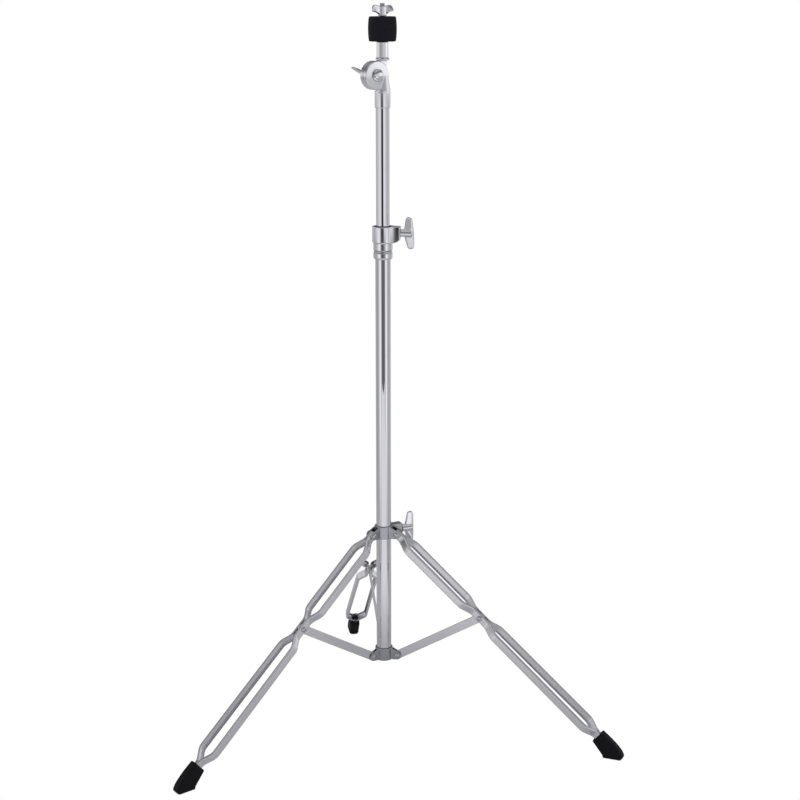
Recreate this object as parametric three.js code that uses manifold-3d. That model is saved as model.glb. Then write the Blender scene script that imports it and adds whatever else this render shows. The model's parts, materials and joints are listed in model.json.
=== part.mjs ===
// A straight cymbal stand on a folding double-braced tripod, in millimetres and degrees, +Z up.
// The tube stands upright. The rear leg points along +Y, the other two 120 degrees to each side.
import * as THREE from "three";
import { mergeVertices } from "three/addons/utils/BufferGeometryUtils.js";
import Module from "manifold-3d";

const wasm = await Module();
wasm.setup();

// Driving dimensions

// Fits
const slideClearance = 0.3;
const seatClearance = 0.15;
const restGap = 0.3;
const cutOverrun = 2;

// Tubes
const upperTubeRadius = 11.1;
const upperTubeWall = 1.2;
const upperTubeLength = 600;
const upperTubeShown = 190.1;
const tubeGap = 0.4;
const lowerTubeWall = 1.2;
const lowerTubeLength = 731;
const guideLipHeight = 6;
const guideSpigotHeight = 14;

// Tripod
const legLength = 532.5;
const legAngle = 49;
const legBraceReach = 199.5;
const stayPivotHeight = 127.5;
const legCount = 3;
const rearLegAzimuth = 90;
const legAzimuths = Array.from({ length: legCount }, (_, leg) => rearLegAzimuth + (leg * 360) / legCount);

// Collars that carry the legs and the stays
const collarWall = 2.2;
const collarHeight = 22;
const collarPivotReach = 9.8;
const legPivotDrop = 2.5;
const stayPivotDrop = 2;
const lowerTubeInset = 1.5;
const earRadius = 7.5;
const earThickness = 2.5;
const legLockAzimuth = 16;
const legLockReach = 18.5;
const legLockHalfWidth = 6.5;
const legLockTaper = 6;
const collarPinRadius = 1.6;
const collarPinAzimuth = 30;

// Leg straps: pressed channels, two to a leg
const strapWidth = 13.8;
const strapDepth = 4.6;
const strapWall = 1.2;
const strapSpread = 34.3;
const strapFootSpread = 37.3;
const strapNeckGap = 0.6;
const strapBendRadius = 18;
const strapFootInset = 38;
const neckReach = 13;
const neckBend = 19;
const braceReach = 18;
const braceBend = 18;
const footNeckReach = 62;
const footBend = 20;

// Stays and rivets
const stayWidth = 14.6;
const stayThickness = 2.5;
const rivetRadius = 2.5;
const rivetHeadRadius = 4.8;
const rivetHeadHeight = 1.9;
const rivetCrownShare = 0.6;
const footRivetReach = 48;

// Rubber feet
const bootReach = 56;
const bootMouth = 22;
const bootThickness = 20;
const bootEdge = 3.5;
const bootRake = 1.2;
const bootSoleFront = 1.5;
const bootSoleLength = 30;
const bootBulge = 4.6;
const bootShoulder = 32;

// Height clamp
const bushWall = 2.4;
const bushLip = 0.8;
const clampWall = 3.6;
const clampHeight = 26.5;
const clampSleeveWall = 3;
const clampSleeveDepth = 29.4;
const clampTubeOverlap = 2;
const clampGrooveDepth = 0.9;
const clampGrooveHeight = 5.5;
const clampGrooveDrop = 12;
const clampLugAzimuth = -20;
const clampLugReach = 11.5;
const clampLugHalfWidth = 7.5;
const clampLugTaper = 10;
const lugCorner = 2.4;
const clampScrewDrop = 10.5;
const clampPinAzimuth = 150;

// Wing bolts and wing nuts
const boltRadius = 4;
const wingHubRadius = 6.2;
const wingNeck = 5.7;
const wingDepth = 16.4;
const wingHubDepth = 13.5;
const wingTipDepth = 12;
const wingTipSweep = 3.6;
const wingSpan = 58;
const wingThickness = 3.8;
const clampWingTurn = 18;
const legWingTurn = 0;
const tilterWingTurn = 64;

// Tilter
const tilterAzimuth = -62;
const socketWall = 1.4;
const socketHeight = 28.5;
const socketDepth = 26;
const socketShoulder = 2.2;
const tilterPinRadius = 1.5;
const tilterPinRise = 6.5;
const discRadius = 22.8;
const discThickness = 8.6;
const discEdge = 1;
const baseDiscRim = 4;
const headDiscRim = 7.4;
const discFaceRadius = 15;
const discGap = 0.6;
const pivotOffset = 16;
const boltHeadRadius = 9.9;
const boltHeadHeight = 5.4;
const boltShoulderShares = [0.86, 0.85];
const boltCrownShare = 0.5;
const headCollarWall = 1.7;
const headCollarHeight = 4.6;
const postRadius = 9.4;
const postHeight = 24.4;

// Cymbal seat
const studRadius = 3.95;
const studDepth = 22;
const studChamfer = 1;
const sleeveWall = 1.6;
const sleeveFlange = 1.3;
const sleeveFlangeReach = 1.5;
const feltRadius = 23.1;
const feltThickness = 19.4;
const feltEdge = 2.8;
const feltMeetingEdge = 0.2;
const feltCrown = 1.5;
const feltMiddleCrownShare = 0.25;
const sleeveShortfall = 3;
const topHubRadius = 6.4;
const topHubFlareShare = 1.15;
const topHubHeight = 15.6;
const topWingRadius = 20.4;
const topWingRise = 17.2;
const topWingRoot = 1.5;
const topWingTip = 10.6;
const topWingThickness = 3.6;
const topWingBellyShare = 0.6;
const topWingShoulderShare = 0.8;
const topWingAzimuth = 21;
const studProud = 2.9;

// How finely round forms are divided
const tubeSides = 28;
const smallSides = 12;
const arcSteps = 4;

// Places worked out from the dimensions above
const lowerTubeRadius = upperTubeRadius + tubeGap + lowerTubeWall;
const collarRadius = lowerTubeRadius + slideClearance + collarWall;
const pivotRadius = collarRadius + collarPivotReach;
const legPivotHeight = legLength * cosine(legAngle);
const legCollarCentre = legPivotHeight + legPivotDrop;
const legFloorRadius = pivotRadius + legLength * sine(legAngle);
const braceRadius = pivotRadius + legBraceReach * sine(legAngle);
const braceHeight = legPivotHeight - legBraceReach * cosine(legAngle);
const stayLength = Math.hypot(braceRadius - pivotRadius, braceHeight - stayPivotHeight);
const staySlope = degrees(Math.atan2(braceHeight - stayPivotHeight, braceRadius - pivotRadius));
const lowerCollarCentre = stayPivotHeight + stayPivotDrop;
const lowerTubeBottom = lowerCollarCentre - collarHeight / 2 + lowerTubeInset;
const lowerTubeTop = lowerTubeBottom + lowerTubeLength;
const clampBase = lowerTubeTop - clampTubeOverlap;
const clampTop = clampBase + clampHeight;
const clampScrewHeight = clampTop - clampScrewDrop;
const clampSleeveBase = clampBase - clampSleeveDepth + clampTubeOverlap;
const clampPinHeight = (clampSleeveBase + clampBase) / 2;
const bushRadius = upperTubeRadius + slideClearance + bushWall;
const clampRadius = bushRadius + seatClearance + clampWall;
const clampSleeveRadius = lowerTubeRadius + seatClearance + clampSleeveWall;
const socketBase = clampTop + upperTubeShown;
const socketTop = socketBase + socketHeight;
const socketRadius = upperTubeRadius + seatClearance + socketWall;
const upperTubeTop = socketBase + socketDepth;
const upperTubeBottom = upperTubeTop - upperTubeLength;
const tilterPinHeight = socketBase + tilterPinRise;
const tilterPivotHeight = socketTop + discRadius + slideClearance;
const headCollarBase = tilterPivotHeight + discRadius + slideClearance;
const headCollarRadius = postRadius + headCollarWall;
const postTop = headCollarBase + headCollarHeight + postHeight;
const sleeveRadius = studRadius + slideClearance + sleeveWall;
const sleeveFlangeRadius = sleeveRadius + sleeveFlangeReach;
const sleeveSeat = postTop - sleeveFlange - restGap;
const lowerFeltBase = postTop;
const upperFeltBase = lowerFeltBase + feltThickness + restGap;
const topNutBase = upperFeltBase + feltThickness + restGap;
const studTop = topNutBase + topWingRise + studProud;

const strapOuterOffset = strapSpread / 2;
const strapFootOffset = strapFootSpread / 2;
const strapNeckOffset = (strapNeckGap + strapDepth) / 2;
const strapBraceOffset = (stayThickness + strapDepth) / 2 + restGap;
const legEarGap = strapNeckGap + 2 * strapDepth + 2 * restGap;
const stayEarGap = stayThickness + 2 * restGap;

const chrome = { color: 0xc9cad2, roughness: 0.16, metalness: 1 };
const castChrome = { color: 0xbfc0c8, roughness: 0.24, metalness: 1 };
const steel = { color: 0xa6a7ae, roughness: 0.35, metalness: 1 };
const nylon = { color: 0x1c1c1f, roughness: 0.55, metalness: 0 };
const rubber = { color: 0x17171b, roughness: 0.75, metalness: 0 };
const felt = { color: 0x26262b, roughness: 1, metalness: 0 };

// Small helpers

function radians(angle) {
  return THREE.MathUtils.degToRad(angle);
}

function degrees(angle) {
  return THREE.MathUtils.radToDeg(angle);
}

function sine(angle) {
  return Math.sin(radians(angle));
}

function cosine(angle) {
  return Math.cos(radians(angle));
}

// A closed geometry as a solid that can be joined and cut.
function solid(geometry) {
  const bare = new THREE.BufferGeometry();
  bare.setAttribute("position", geometry.getAttribute("position"));
  bare.setIndex(geometry.index);
  const merged = mergeVertices(bare);
  const vertProperties = merged.attributes.position.array;
  const triVerts = new Uint32Array(merged.index.array);
  return new wasm.Manifold(new wasm.Mesh({ numProp: 3, vertProperties, triVerts }));
}

function join(...solids) {
  return solids.reduce((whole, piece) => whole.add(piece));
}

function cut(whole, ...tools) {
  return tools.reduce((left, tool) => left.subtract(tool), whole);
}

// The solid as a named mesh with its own material.
function piece(name, whole, finish) {
  const { numProp, vertProperties, triVerts } = whole.getMesh();
  const corners = new Float32Array(triVerts.length * numProp);
  triVerts.forEach((vertex, corner) => {
    const start = vertex * numProp;
    corners.set(vertProperties.subarray(start, start + numProp), corner * numProp);
  });
  const geometry = new THREE.BufferGeometry();
  geometry.setAttribute("position", new THREE.BufferAttribute(corners, numProp));
  geometry.computeVertexNormals();
  const mesh = new THREE.Mesh(geometry, new THREE.MeshStandardMaterial(finish));
  mesh.name = name;
  return mesh;
}

// A solid of revolution about Z from points of [radius, height], counted anticlockwise.
function turned(points, sides = tubeSides) {
  const profile = [...points, points[0]].map(([radius, height]) => new THREE.Vector2(radius, height));
  return new THREE.LatheGeometry(profile, sides).rotateX(Math.PI / 2);
}

function rod(radius, low, high, sides = tubeSides) {
  return turned([[0, low], [radius, low], [radius, high], [0, high]], sides);
}

function pipe(inner, outer, low, high, sides = tubeSides) {
  return turned([[inner, low], [outer, low], [outer, high], [inner, high]], sides);
}

function block(width, depth, height) {
  return new THREE.BoxGeometry(width, depth, height);
}

// A flat outline in X and Y, raised along Z from low to high.
function raised(shape, low, high, bevel = 0) {
  const options = {
    depth: high - low - 2 * bevel,
    curveSegments: arcSteps,
    bevelEnabled: bevel > 0,
    bevelThickness: bevel,
    bevelSize: bevel,
    bevelOffset: -bevel,
    bevelSegments: 2,
  };
  return new THREE.ExtrudeGeometry(shape, options).translate(0, 0, low + bevel);
}

// The same, for an outline of reach and height, centred across the width.
function upright(shape, low, high, bevel = 0) {
  return raised(shape, low, high, bevel).rotateX(Math.PI / 2);
}

function alongX(geometry) {
  return geometry.rotateY(Math.PI / 2);
}

function alongY(geometry) {
  return geometry.rotateX(-Math.PI / 2);
}

function outline(points) {
  return new THREE.Shape(points.map(([x, y]) => new THREE.Vector2(x, y)));
}

// A bar outline with round ends, from one eye to the other.
function roundBar(length, width) {
  const shape = new THREE.Shape();
  shape.absarc(0, 0, width / 2, Math.PI / 2, -Math.PI / 2 + 2 * Math.PI, false);
  shape.absarc(length, 0, width / 2, -Math.PI / 2, Math.PI / 2, false);
  return shape;
}

function turnedTo(azimuth, ...members) {
  const group = new THREE.Group();
  group.rotation.z = radians(azimuth);
  group.add(...members);
  return group;
}

// A plain pin or a rivet along Z, with its two domed heads outside the grip.
function rivet(low, high, lowHead = true) {
  const waist = rivetHeadHeight / 2;
  const crown = rivetHeadRadius * rivetCrownShare;
  const head = [
    [rivetRadius, high],
    [rivetHeadRadius, high],
    [rivetHeadRadius, high + waist],
    [crown, high + rivetHeadHeight],
    [0, high + rivetHeadHeight],
  ];
  const tail = [
    [0, low - rivetHeadHeight],
    [crown, low - rivetHeadHeight],
    [rivetHeadRadius, low - waist],
    [rivetHeadRadius, low],
    [rivetRadius, low],
  ];
  return turned([...(lowHead ? tail : [[0, low], [rivetRadius, low]]), ...head], smallSides);
}

// Tubes and what is fixed to them

function lowerTube() {
  const shell = solid(pipe(lowerTubeRadius - lowerTubeWall, lowerTubeRadius, lowerTubeBottom, lowerTubeTop));
  const pinHole = rod(collarPinRadius + seatClearance, 0, collarRadius + cutOverrun, smallSides);
  const collarHole = alongX(pinHole.clone()).rotateZ(radians(collarPinAzimuth));
  const clampHole = alongX(pinHole).rotateZ(radians(clampPinAzimuth));
  collarHole.translate(0, 0, lowerCollarCentre);
  clampHole.translate(0, 0, clampPinHeight);
  return piece("lower_tube", cut(shell, solid(collarHole), solid(clampHole)), chrome);
}

// A pin through a collar's wall into the tube, flush with the collar.
function wallPin(name, outerRadius, azimuth, height) {
  const inner = lowerTubeRadius - lowerTubeWall;
  const pin = rod(collarPinRadius, inner, outerRadius, smallSides);
  return piece(name, solid(alongX(pin).rotateZ(radians(azimuth)).translate(0, 0, height)), steel);
}

// One ear of a pair: a plate from the collar's wall to the pivot, round at its end.
function ear(pivotDrop, near, far) {
  const root = collarRadius - collarWall / 2;
  const shape = new THREE.Shape();
  shape.moveTo(root, -collarHeight / 2);
  shape.lineTo(pivotRadius, -pivotDrop - earRadius);
  shape.absarc(pivotRadius, -pivotDrop, earRadius, -Math.PI / 2, Math.PI / 2, false);
  shape.lineTo(root, collarHeight / 2);
  return upright(shape, near, far);
}

// A ring round the tube with three pairs of ears, centred on its own height.
function earedCollar(earGap, pivotDrop) {
  const bore = lowerTubeRadius + slideClearance;
  let whole = solid(pipe(bore, collarRadius, -collarHeight / 2, collarHeight / 2));
  for (const azimuth of legAzimuths) {
    for (const side of [-1, 1]) {
      const near = earGap / 2;
      const far = near + earThickness;
      const plate = side > 0 ? ear(pivotDrop, near, far) : ear(pivotDrop, -far, -near);
      whole = join(whole, solid(plate.rotateZ(radians(azimuth))));
    }
    const reach = earGap + earThickness;
    const hole = alongY(rod(rivetRadius + seatClearance, -reach, reach, smallSides));
    hole.translate(pivotRadius, 0, -pivotDrop).rotateZ(radians(azimuth));
    whole = cut(whole, solid(hole));
  }
  return cut(whole, solid(rod(bore, -collarHeight, collarHeight)));
}

// A lug that stands out of a ring along X, tapered below, for a wing bolt.
function lug(ringRadius, reach, rootHalfWidth, halfWidth, low, high, taper) {
  const end = ringRadius + reach;
  const plan = new THREE.Shape();
  plan.moveTo(0, -rootHalfWidth);
  plan.lineTo(end - lugCorner, -halfWidth);
  plan.quadraticCurveTo(end, -halfWidth, end, -halfWidth + lugCorner);
  plan.lineTo(end, halfWidth - lugCorner);
  plan.quadraticCurveTo(end, halfWidth, end - lugCorner, halfWidth);
  plan.lineTo(0, rootHalfWidth);
  const side = new THREE.Shape();
  side.moveTo(0, low);
  side.lineTo(ringRadius, low);
  side.quadraticCurveTo(end, low, end, low + taper);
  side.lineTo(end, high - lugCorner);
  side.lineTo(end - lugCorner, high);
  side.lineTo(0, high);
  return solid(raised(plan, low, high)).intersect(solid(upright(side, -ringRadius, ringRadius)));
}

// The lower collar is pinned to the foot of the tube and carries the stays.
function lowerCollar() {
  const hole = alongX(rod(collarPinRadius + seatClearance, 0, collarRadius + cutOverrun, smallSides));
  const ring = earedCollar(stayEarGap, stayPivotDrop);
  const whole = cut(ring, solid(hole.rotateZ(radians(collarPinAzimuth))));
  const mesh = piece("lower_collar", whole, castChrome);
  mesh.position.z = lowerCollarCentre;
  return mesh;
}

// The leg collar slides on the tube and is locked by its wing bolt.
function legCollar() {
  const half = collarHeight / 2;
  const bore = lowerTubeRadius + slideClearance;
  const boss = lug(collarRadius, legLockReach, legLockHalfWidth, legLockHalfWidth, -half, half, legLockTaper);
  const screwEnd = collarRadius + legLockReach + cutOverrun;
  const screwHole = alongX(rod(boltRadius + seatClearance, 0, screwEnd, smallSides));
  const lock = cut(boss, solid(rod(bore, -collarHeight, collarHeight)));
  const turn = [0, 0, legLockAzimuth];
  const whole = join(earedCollar(legEarGap, legPivotDrop), lock.rotate(turn));
  const mesh = piece("leg_collar", cut(whole, solid(screwHole).rotate(turn)), castChrome);
  mesh.position.z = legCollarCentre;
  return mesh;
}

// Legs

// Points along a bent centre line, with an arc at every bend.
function bentLine(corners, radius) {
  const line = new THREE.CurvePath();
  let from = corners[0].clone();
  for (let i = 1; i < corners.length - 1; i += 1) {
    const inward = corners[i - 1].clone().sub(corners[i]).normalize();
    const outward = corners[i + 1].clone().sub(corners[i]).normalize();
    const setback = radius * Math.tan((Math.PI - inward.angleTo(outward)) / 2);
    const start = corners[i].clone().addScaledVector(inward, setback);
    const end = corners[i].clone().addScaledVector(outward, setback);
    line.add(new THREE.LineCurve(from, start));
    line.add(new THREE.QuadraticBezierCurve(start, corners[i], end));
    from = end;
  }
  line.add(new THREE.LineCurve(from, corners[corners.length - 1]));
  const pointsOf = (curve) => curve.getPoints(curve.isLineCurve ? 1 : 2).slice(0, -1);
  return line.curves.flatMap(pointsOf).concat(corners.at(-1));
}

// The line moved sideways by a distance.
function offsetLine(points, distance) {
  return points.map((point, i) => {
    const before = points[Math.max(i - 1, 0)];
    const after = points[Math.min(i + 1, points.length - 1)];
    const run = after.clone().sub(before).normalize();
    return point.clone().add(new THREE.Vector2(-run.y, run.x).multiplyScalar(distance));
  });
}

const strapEnd = legLength - strapFootInset;
const braceStart = legBraceReach - braceReach;
const braceStop = legBraceReach + braceReach;
const footStart = legLength - footNeckReach;
const strapCorners = [
  [-strapWidth, strapNeckOffset],
  [neckReach, strapNeckOffset],
  [neckReach + neckBend, strapOuterOffset],
  [braceStart - braceBend, strapOuterOffset],
  [braceStart, strapBraceOffset],
  [braceStop, strapBraceOffset],
  [braceStop + braceBend, strapOuterOffset],
  [footStart - footBend, strapFootOffset],
  [footStart, strapNeckOffset],
  [strapEnd + strapWidth, strapNeckOffset],
].map(([reach, offset]) => new THREE.Vector2(reach, offset));

// A strap in the leg's own frame: X down the leg from its pivot, Y across, Z square to the leg.
// side is 1 or -1. Its web faces outwards and its open side faces the other strap.
function strap(name, side) {
  const centre = bentLine(strapCorners, strapBendRadius);
  const band = (near, far) => {
    const line = [...offsetLine(centre, near), ...offsetLine(centre, far).reverse()];
    return outline(line.map((point) => [point.x, point.y * side]));
  };
  const half = strapWidth / 2;
  const inside = half - strapWall;
  const edge = strapDepth / 2;
  const body = solid(raised(band(-edge, edge), -half, half));
  const channel = solid(raised(band(-edge - cutOverrun / 2, edge - strapWall), -inside, inside));
  const plan = solid(upright(roundBar(strapEnd, strapWidth), -strapFootSpread, strapFootSpread));
  const holes = [0, legBraceReach, legLength - footRivetReach].map((reach) => {
    const hole = alongY(rod(rivetRadius + seatClearance, -strapFootSpread, strapFootSpread, smallSides));
    return solid(hole.translate(reach, 0, 0));
  });
  return piece(name, cut(body, channel, ...holes).intersect(plan), chrome);
}

// The rivet at the brace is in two halves, one in each strap, and the stay's eye floats between them.
function braceRivet(name, side) {
  const low = stayThickness / 2 + restGap;
  const high = strapBraceOffset + strapDepth / 2 + seatClearance;
  const half = alongY(rivet(low, high, false));
  if (side < 0) half.rotateZ(Math.PI);
  return piece(name, solid(half.translate(legBraceReach, 0, 0)), steel);
}

function footRivet(name) {
  const grip = strapNeckGap / 2 + strapDepth + seatClearance;
  const pin = alongY(rod(rivetRadius, -grip, grip, smallSides));
  return piece(name, solid(pin.translate(legLength - footRivetReach, 0, 0)), steel);
}

// A rubber foot in the leg's upright plane: X out from the tube, Z up, its flat sole at Z 0.
function boot(name) {
  const mouthRadius = legFloorRadius - bootReach * sine(legAngle);
  const mouthHeight = bootReach * cosine(legAngle);
  const across = [(bootMouth / 2) * cosine(legAngle), (bootMouth / 2) * sine(legAngle)];
  const front = legFloorRadius - bootSoleFront;
  const back = front - bootSoleLength;
  const nose = legFloorRadius + bootBulge;
  const shoulderRadius = legFloorRadius - bootShoulder * sine(legAngle) + across[0];
  const shoulder = [shoulderRadius, bootShoulder * cosine(legAngle)];
  const shape = new THREE.Shape();
  shape.moveTo(mouthRadius - across[0], mouthHeight - across[1]);
  shape.lineTo(back - bootRake, bootEdge);
  shape.lineTo(back, 0);
  shape.lineTo(front, 0);
  shape.lineTo(nose - bootRake, bootEdge);
  shape.quadraticCurveTo(nose, bootShoulder / 2, shoulder[0], shoulder[1] + across[1] / 2);
  shape.lineTo(mouthRadius + across[0], mouthHeight + across[1]);
  const rubberBody = solid(upright(shape, -bootThickness / 2, bootThickness / 2, bootEdge));
  const depth = bootReach - strapFootInset + strapWidth / 2 + restGap;
  const width = strapWidth + 2 * restGap;
  const thickness = strapNeckGap + 2 * strapDepth + 2 * restGap;
  const pocket = block(depth + cutOverrun, thickness, width);
  pocket.translate(legLength - bootReach + (depth - cutOverrun) / 2, 0, 0);
  pocket.rotateY(radians(90 - legAngle)).translate(pivotRadius, 0, legPivotHeight);
  return piece(name, cut(rubberBody, solid(pocket)), rubber);
}

function leg(number, azimuth) {
  const hinged = new THREE.Group();
  hinged.position.set(pivotRadius, 0, legPivotHeight);
  hinged.rotation.y = radians(90 - legAngle);
  hinged.add(strap(`leg_${number}_strap_left`, 1), strap(`leg_${number}_strap_right`, -1));
  hinged.add(braceRivet(`leg_${number}_brace_rivet_left`, 1));
  hinged.add(braceRivet(`leg_${number}_brace_rivet_right`, -1));
  hinged.add(footRivet(`leg_${number}_foot_rivet`));
  return turnedTo(azimuth, hinged, boot(`rubber_foot_${number}`));
}

// The rivet that a leg or a stay turns on, fixed in its collar's ears.
function pivotRivet(name, azimuth, earGap, height) {
  const grip = earGap / 2 + earThickness + seatClearance;
  const whole = solid(alongY(rivet(-grip, grip)).translate(pivotRadius, 0, height));
  return turnedTo(azimuth, piece(name, whole, steel));
}

// A stay runs from its collar's ears up to the brace of its leg.
function stay(number, azimuth) {
  const bar = upright(roundBar(stayLength, stayWidth), -stayThickness / 2, stayThickness / 2);
  const eye = alongY(rod(rivetRadius + seatClearance, -stayThickness, stayThickness, smallSides));
  const far = eye.clone().translate(stayLength, 0, 0);
  const mesh = piece(`stay_${number}`, cut(solid(bar), solid(eye), solid(far)), chrome);
  mesh.position.set(pivotRadius, 0, stayPivotHeight);
  mesh.rotation.y = -radians(staySlope);
  return turnedTo(azimuth, mesh);
}

// Height clamp

function heightClamp() {
  const low = clampBase;
  const sleeve = pipe(lowerTubeRadius + seatClearance, clampSleeveRadius, clampSleeveBase, low);
  const ring = solid(rod(clampRadius, low, clampTop));
  const boss = lug(clampRadius, clampLugReach, clampRadius, clampLugHalfWidth, low, clampTop, clampLugTaper);
  const tubeSeat = rod(lowerTubeRadius + seatClearance, low - cutOverrun, lowerTubeTop + restGap);
  const bushSeat = rod(bushRadius + seatClearance, lowerTubeTop, clampTop + cutOverrun);
  const screwEnd = clampRadius + clampLugReach + cutOverrun;
  const screwHole = alongX(rod(boltRadius + seatClearance, 0, screwEnd, smallSides));
  const pinHole = alongX(rod(collarPinRadius + seatClearance, 0, clampSleeveRadius + cutOverrun, smallSides));
  pinHole.rotateZ(radians(clampPinAzimuth)).translate(0, 0, clampPinHeight);
  const grooveTop = clampBase - clampGrooveDrop;
  const groove = pipe(
    clampSleeveRadius - clampGrooveDepth,
    clampSleeveRadius + cutOverrun,
    grooveTop - clampGrooveHeight,
    grooveTop,
  );
  const turn = [0, 0, clampLugAzimuth];
  const body = join(solid(sleeve), ring, boss.rotate(turn));
  const drill = solid(screwHole.translate(0, 0, clampScrewHeight)).rotate(turn);
  const whole = cut(body, solid(tubeSeat), solid(bushSeat), drill, solid(pinHole), solid(groove));
  return piece("height_clamp", whole, castChrome);
}

// A nylon bush lines the clamp so that the wing bolt doesn't rattle the inner tube.
function clampBush() {
  const inner = upperTubeRadius + slideClearance;
  const shell = pipe(inner, bushRadius, lowerTubeTop + restGap, clampTop + bushLip);
  const hole = alongX(rod(boltRadius + seatClearance, 0, clampRadius, smallSides));
  hole.translate(0, 0, clampScrewHeight).rotateZ(radians(clampLugAzimuth));
  return piece("clamp_bush", cut(solid(shell), solid(hole)), nylon);
}

// Two paddles and their hub. X runs out along the screw, from the seat of the hub.
function wings() {
  const span = wingSpan / 2;
  const tip = wingTipDepth / 2;
  const start = wingNeck;
  const shape = new THREE.Shape();
  shape.moveTo(start, 0);
  for (const side of [1, -1]) {
    const centre = start + wingTipSweep + tip;
    const points = [
      [start, side * wingHubRadius],
      [start + wingTipSweep, side * (span - tip)],
    ];
    if (side < 0) points.reverse();
    if (side > 0) points.forEach(([x, y]) => shape.lineTo(x, y));
    const from = side > 0 ? Math.PI : 0;
    shape.absarc(centre, side * (span - tip), tip, from, from - Math.PI, true);
    if (side > 0) shape.quadraticCurveTo(start + wingDepth, span / 2, start + wingDepth, 0);
    if (side < 0) points.slice(1).forEach(([x, y]) => shape.lineTo(x, y));
  }
  const paddles = upright(shape, -wingThickness / 2, wingThickness / 2);
  const hub = alongX(rod(wingHubRadius, 0, wingNeck + wingHubDepth, smallSides));
  return join(solid(paddles), solid(hub));
}

// A wing bolt whose tip stops just short of the tube that it clamps.
function wingBolt(name, tubeRadius, lock) {
  const shank = alongX(rod(boltRadius, tubeRadius - lock.lugEnd, wingNeck, smallSides));
  const mesh = piece(name, join(wings(), solid(shank)), castChrome);
  mesh.position.set(lock.lugEnd + restGap, 0, lock.height);
  mesh.rotation.x = radians(lock.turn);
  return turnedTo(lock.azimuth, mesh);
}

// Upper tube and tilter

function upperTube() {
  const inner = upperTubeRadius - upperTubeWall;
  const shell = solid(pipe(inner, upperTubeRadius, upperTubeBottom, upperTubeTop));
  return piece("upper_tube", cut(shell, tilterPinHole()), chrome);
}

function tilterPinHole() {
  const hole = alongX(rod(tilterPinRadius + seatClearance, -socketRadius * 2, socketRadius * 2, smallSides));
  return solid(hole.translate(0, 0, tilterPinHeight).rotateZ(radians(tilterAzimuth)));
}

// A nylon guide in the foot of the upper tube keeps it central in the lower tube.
function tubeGuide() {
  const low = upperTubeBottom - guideLipHeight;
  const inner = upperTubeRadius - upperTubeWall - slideClearance;
  const lip = lowerTubeRadius - lowerTubeWall - seatClearance;
  const lipTop = upperTubeBottom - restGap;
  const profile = [
    [inner / 2, low],
    [lip, low],
    [lip, lipTop],
    [inner, lipTop],
    [inner, upperTubeBottom + guideSpigotHeight],
    [inner / 2, upperTubeBottom + guideSpigotHeight],
  ];
  return piece("tube_guide", solid(turned(profile)), nylon);
}

// One half of the tilt hinge: a round disc with a domed back. side is 1 or -1 along X.
function tilterDisc(side, rim) {
  const face = discGap / 2;
  const back = face + discThickness;
  const profile = [
    [0, face],
    [discRadius, face],
    [discRadius, face + rim - discEdge],
    [discRadius - discEdge, face + rim],
    [(discRadius + discFaceRadius) / 2, back - discEdge],
    [discFaceRadius, back],
    [0, back],
  ];
  const disc = alongX(turned(profile));
  if (side < 0) disc.rotateZ(Math.PI);
  return disc.translate(0, -pivotOffset, tilterPivotHeight);
}

// Half of a round bar that runs from its casting, at height near, to the middle of its disc.
// It lies on one side of the plane where the discs meet. Its outer edge curves in to the disc's rim,
// and it thins to the disc's own thickness.
function tilterArm(side, near, radius) {
  const middle = (near + tilterPivotHeight) / 2;
  const shape = new THREE.Shape();
  shape.moveTo(-radius, near);
  shape.lineTo(radius, near);
  shape.quadraticCurveTo(radius, middle, discRadius - pivotOffset, tilterPivotHeight);
  shape.lineTo(-radius, tilterPivotHeight);
  const profile = raised(shape, discGap / 2, radius).rotateX(Math.PI / 2).rotateZ(Math.PI / 2);
  if (side < 0) profile.translate(-radius - discGap / 2, 0, 0);
  const taper = new THREE.Shape();
  taper.moveTo(0, near);
  taper.lineTo(side * radius, near);
  taper.lineTo(side * (discGap / 2 + discThickness), tilterPivotHeight);
  taper.lineTo(0, tilterPivotHeight);
  const bar = rod(radius, Math.min(near, tilterPivotHeight), Math.max(near, tilterPivotHeight));
  return solid(bar).intersect(solid(profile)).intersect(solid(upright(taper, -radius, radius)));
}

function tilterBoltHole() {
  const reach = 2 * discThickness + discGap;
  const hole = alongX(rod(boltRadius + seatClearance, -reach, reach, smallSides));
  return solid(hole.translate(0, -pivotOffset, tilterPivotHeight));
}

// The round flat that the bolt's head sits in, scooped out of the arm beside it.
function boltHeadSeat() {
  const face = discGap / 2 + discThickness;
  const seat = alongX(rod(boltHeadRadius + slideClearance, face, socketRadius + cutOverrun));
  return solid(seat.translate(0, -pivotOffset, tilterPivotHeight));
}

// The lower half of the tilter: a socket pinned to the tube, half a neck and a disc.
function tilterBase() {
  const socket = turned([
    [upperTubeRadius + seatClearance, socketBase],
    [socketRadius - discEdge / 2, socketBase],
    [socketRadius, socketBase + discEdge],
    [socketRadius, socketTop - socketShoulder],
    [postRadius, socketTop],
    [0, socketTop],
    [0, upperTubeTop + restGap],
    [upperTubeRadius + seatClearance, upperTubeTop + restGap],
  ]);
  const neck = tilterArm(1, upperTubeTop + restGap, socketRadius);
  const disc = tilterDisc(1, baseDiscRim);
  const whole = cut(join(solid(socket), neck, solid(disc)), tilterBoltHole(), boltHeadSeat());
  return piece("tilter_base", cut(whole.rotate([0, 0, tilterAzimuth]), tilterPinHole()), castChrome);
}

function tilterPin() {
  const reach = socketRadius - seatClearance;
  const pin = alongX(rod(tilterPinRadius, -reach, reach, smallSides));
  return piece("tilter_pin", solid(pin.translate(0, 0, tilterPinHeight)), steel);
}

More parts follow.
